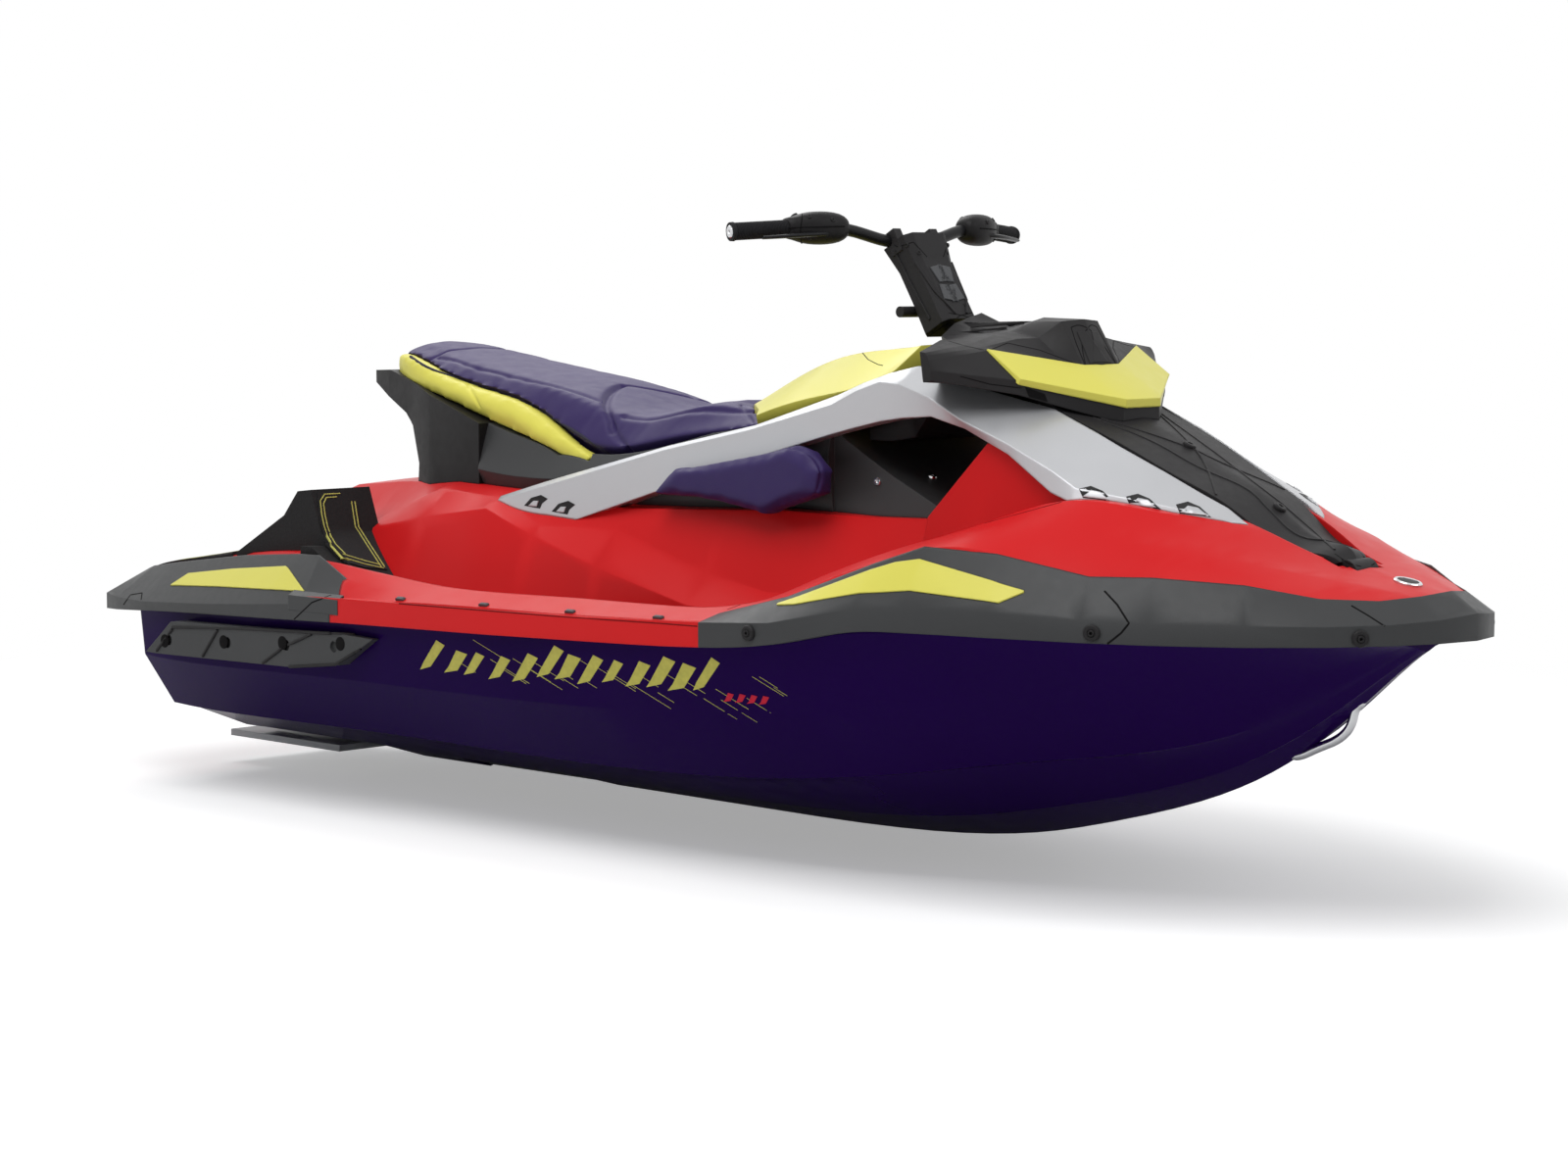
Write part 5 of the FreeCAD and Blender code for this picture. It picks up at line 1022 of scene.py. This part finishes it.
# Laid pieces: name, slot, body, finish, what each lies on, its kind with measures, and its paths, outlines or
# spots as pixels of the photograph or, where the view is from above, in metres.
MAT_RIB = Stripe(0.016, 0.002, 0.02)
EDGE_LINE = Stripe(0.0045, 0.0012, 0.02)
STERN_JOINT = Stripe(0.004, 0.0004, 3.0)
BOW_SCREW_PIXELS = ((764, 646), (1114, 646), (1388, 652))
LAID = (
    ("cover_seam", "trim_yellow", "craft", "gap", ("seat_nose",), Stripe(0.0022, 0.0003), (
        ((880, 360), (886, 367), (896, 372), (901, 373)),)),
    ("pod_joints", "black_plastic", "steering", "gap", ("pod_right",), Stripe(0.0028, 0.0006, 3.0), (
        rounded(((817, 208), (819, 222), (816, 236), (819, 256))),
        ((798, 233), (818, 232), (862, 231)))),
    ("column_ribs", "black_plastic", "steering", "dark_grey", ("steering_column",), Stripe(0.006, 0.0025), (
        ((913, 256), (930, 290), (949, 326)),
        ((934, 268), (953, 296), (975, 320)))),
    ("column_joints", "black_plastic", "steering", "gap", ("steering_column",), Stripe(0.0025, 0.0003), (
        ((945, 345), (964, 332), (980, 322), (996, 318)),
        ((906, 246), (916, 252), (932, 247), (946, 262)))),
    ("cowl_joints", "grey_plastic", "hood", "gap", ("dash_cowl",), Stripe(0.0026, 0.0003), (
        ((968, 348), (985, 353), (1008, 358), (1043, 388)),
        ((1008, 358), (1028, 350), (1060, 357), (1098, 371)),
        ((1093, 334), (1098, 350), (1107, 372)),
        rounded(((1093, 334), (1101, 331), (1113, 336), (1126, 352), (1139, 372))),
        ((980, 384), (1010, 392), (1042, 396), (1042, 388)))),
    ("spine_creases", "grey_plastic", "hood", "dark_grey", ("hood_spine",), Stripe(0.005, 0.0016), (
        rounded(((1184, 424), (1204, 442), (1224, 463), (1234, 482), (1241, 505))),
        ((1186, 423), (1240, 462), (1308, 514), (1362, 561)))),
    ("spine_joints", "grey_plastic", "hood", "gap", ("hood_spine",), Stripe(0.0024, 0.0003), (
        ((1093, 428), (1164, 468), (1238, 513)),
        ((1362, 565), (1376, 575), (1389, 578)))),
    ("bow_joints", "grey_plastic", "craft", "gap", ("bow_bumper",), Stripe(0.0045, 0.0004, 3.0), (
        ((1127, 603), (1140, 617), (1152, 636), (1144, 646), (1130, 657)),
        ((1379, 618), (1396, 628), (1413, 639)))),
    ("stern_end_joints", "grey_plastic", "craft", "gap", ("stern_bumper_right", "stern_ends"), STERN_JOINT, (
        ((338, 607), (318, 615), (300, 632)),)),
    ("stern_joints", "grey_plastic", "craft", "gap", ("stern_bumper_right",), STERN_JOINT, (
        ((126, 617), (133, 607), (145, 605), (144, 612)),)),
    ("sponson_ribs", "grey_plastic", "craft", "dark_grey", ("sponson_right",), Stripe(0.007, 0.003, 4.0), (
        ((176, 640), (240, 641), (310, 645), (366, 648)),
        ((152, 668), (215, 675), (280, 681), (342, 678), (368, 662)),
        ((160, 664), (176, 642)), ((205, 673), (222, 643)), ((265, 679), (290, 660), (318, 647)))),
    ("deck_joints", "deck_red", "craft", "red_gap", ("deck",), Stripe(0.003, 0.0004), (
        ((742, 622), (800, 601), (900, 564), (990, 538), (1088, 511)),
        ((407, 616), (494, 623), (582, 630), (672, 636), (736, 641)))),
    ("chock_stitches", "mat_black", "craft", "stitch_yellow", ("foot_chock_right",),
     Stripe(0.0028, 0.0042, 4.0), stitch_runs),
    ("platform_lines", "mat_black", "craft", "stitch_yellow", ("platform_mat",), EDGE_LINE, (
        ((-1.47, 0.0), (-1.47, 0.33), (-1.40, 0.385), (-1.17, 0.385)),), from_above),
    ("platform_ribs", "mat_black", "craft", None, ("platform_mat",), MAT_RIB, platform_ribs, from_above),
    ("footwell_ribs", "mat_black", "craft", None, ("footwell_mat_left",), MAT_RIB, well_ribs, from_above),
    ("hull_scratches", "hull_indigo", "craft", "graphic_yellow", ("hull",),
     Stripe(0.0014, 0.0003, 9.0), scratches),
    ("column_plates", "grey_plastic", "steering", "mid_grey", ("steering_column",), Skin(0.0018, 4.0), (
        ((956, 270), (969, 273), (973, 288), (961, 287)),
        ((963, 292), (975, 290), (984, 305), (972, 308)))),
    ("cowl_recess", "grey_plastic", "hood", "dark_grey", ("dash_cowl",), Skin(0.0012, 5.0), (
        ((1099, 339), (1108, 338), (1130, 369), (1112, 371)),)),
    ("cowl_intakes", "black_plastic", "hood", "gap", ("dash_cowl",), Skin(0.0008, 4.0), (
        ((1046, 395), (1066, 402), (1069, 410), (1050, 405)),)),
    ("arch_vents", "arch_silver", "craft", "dark_grey", ("side_arch_right",), Skin(0.0006, 3.0), vent_slots),
    ("arch_vent_fins", "arch_silver", "craft", None, ("side_arch_right",), Skin(0.0022, 3.0), vent_fins),
    ("chock_mats", "mat_black", "craft", None, ("foot_chock_right",), Skin(0.003, 5.0), (
        ((323, 503), (347, 501), (361, 510), (367, 538), (395, 582), (372, 580), (348, 573), (333, 555),
         (326, 533)),)),
    ("hull_strokes", "hull_indigo", "craft", "graphic_yellow", ("hull",), Skin(0.0007, 7.0), strokes),
    ("hull_accents", "hull_indigo", "craft", "graphic_red", ("hull",), Skin(0.0007, 5.0), accents),
    ("pod_screws", "eye_steel", "steering", "dark_grey", ("pod_right",), Head(0.0042), (
        (826, 221), (826, 243), (850, 224))),
    ("column_screws", "eye_steel", "steering", "dark_grey", ("steering_column",), Head(0.0045), (
        (925, 250), (967, 258), (985, 311))),
    ("bow_screws", "grey_plastic", "craft", "dark_grey", ("bow_bumper",), Head(0.014, 0.006),
     BOW_SCREW_PIXELS),
    ("bow_screw_heads", "eye_steel", "craft", "dark_grey", ("bow_bumper",), Head(0.006, 0.008),
     BOW_SCREW_PIXELS),
    ("base_screws", "eye_steel", "craft", "chrome", ("centre_base", "steering_bridge", "seat_body"),
     Head(0.008, 0.004), ((896, 491), (951, 487))),
)

upholstery()
grips()
pods()
bridge()
hood()
side_trim()
bow()
for row in LAID:
    lay(*row)


# Studio: the world's light, the floor with its glow and the distances over which it whitens, and the lamps
# with their places, sizes in metres and watts.
WORLD_COLOR = (0.94, 0.95, 0.97, 1.0)
WORLD_STRENGTH = 0.32
FLOOR_SIZE = 60
FLOOR_COLOR = (0.92, 0.92, 0.92, 1.0)
FLOOR_TINT = (0.94, 0.94, 0.94, 1.0)
FLOOR_ROUGHNESS = 0.9
FLOOR_GLOW = 0.35
FADE_START = 1.9
FADE_END = 3.6
LAMP_TARGET = Vector((0, 0, 0.3))
LAMPS = (
    ("key", (0.9, -2.6, 4.8), (4.5, 3.5), 180),
    ("fill", (4.6, 1.6, 3.4), (3.0, 2.5), 45),
    ("back", (-3.6, 1.5, 4.0), (4.0, 2.5), 85),
)


def lamp(name, place, size, power):
    """A soft rectangular lamp that looks at the craft."""
    data = bpy.data.lights.new(name, "AREA")
    data.shape = "RECTANGLE"
    data.size, data.size_y = size
    data.energy = power
    made = bpy.data.objects.new(name, data)
    made.location = place
    made.rotation_mode = "QUATERNION"
    made.rotation_quaternion = (LAMP_TARGET - Vector(place)).to_track_quat("-Z", "Y")
    bpy.context.scene.collection.objects.link(made)


def white_behind(tree, kind):
    """A white shader, and the share of it that only camera, glossy and transmission rays see."""
    path = added(tree, "ShaderNodeLightPath", {})
    share = path["Is Camera Ray"]
    for ray in ("Is Glossy Ray", "Is Transmission Ray"):
        share = added(tree, "ShaderNodeMath", {0: share, 1: path[ray]}, operation="MAXIMUM")[0]
    return added(tree, kind, {"Color": WHITE, "Strength": 1.0})[0], share


def surround():
    """An even pale world, which rays from the camera see as white."""
    world = bpy.data.worlds.new("studio")
    bpy.context.scene.world = world
    world.use_nodes = True
    tree = world.node_tree
    white, share = white_behind(tree, "ShaderNodeBackground")
    even = added(tree, "ShaderNodeBackground", {"Color": WORLD_COLOR, "Strength": WORLD_STRENGTH})[0]
    mix = added(tree, "ShaderNodeMixShader", {0: share, 1: even, 2: white})[0]
    tree.links.new(mix, tree.nodes["World Output"].inputs["Surface"])


def ground():
    """A pale floor that glows a little to the camera and runs out into white."""
    bpy.ops.mesh.primitive_plane_add(size=FLOOR_SIZE, location=(0, 0, KEEL - FLOOR_DROP))
    floor = bpy.context.object
    floor.name = "floor"
    pale = Finish("floor_pale", FLOOR_COLOR, FLOOR_ROUGHNESS, spec=0.0)
    pale.tint(pale.noise(0.7, 2), low=0.3, high=0.7, share=1.0, other=FLOOR_TINT)
    tree = pale.tree
    white, share = white_behind(tree, "ShaderNodeEmission")
    far = added(tree, "ShaderNodeVectorMath", {0: pale.place}, operation="LENGTH")["Value"]
    away = pale.spread(far, FADE_START, FADE_END)
    fade = added(tree, "ShaderNodeMath", {0: away, 1: share}, operation="MULTIPLY")[0]
    seen = added(tree, "ShaderNodeLightPath", {})["Is Camera Ray"]
    strength = added(tree, "ShaderNodeMath", {0: seen, 1: FLOOR_GLOW}, operation="MULTIPLY")[0]
    glow = added(tree, "ShaderNodeEmission", {"Color": WHITE, "Strength": strength})[0]
    near = added(tree, "ShaderNodeAddShader", {0: pale.shader.outputs[0], 1: glow})[0]
    mix = added(tree, "ShaderNodeMixShader", {0: fade, 1: near, 2: white})[0]
    tree.links.new(mix, tree.nodes["Material Output"].inputs["Surface"])
    floor.data.materials.append(pale.material)


def photo_camera():
    """A camera at the photograph's place, with its view."""
    data = bpy.data.cameras.new("photo_camera")
    data.sensor_width = CAMERA_SENSOR
    data.lens = CAMERA_LENS
    data.clip_end = CAMERA_REACH
    made = bpy.data.objects.new("photo_camera", data)
    made.location = CAMERA_PLACE
    made.rotation_euler = (math.radians(90 - CAMERA_TILT), 0, math.radians(CAMERA_AZIMUTH))
    bpy.context.scene.collection.objects.link(made)
    bpy.context.scene.camera = made


bpy.context.scene.view_settings.view_transform = "Standard"
surround()
ground()
for row in LAMPS:
    lamp(*row)
photo_camera()
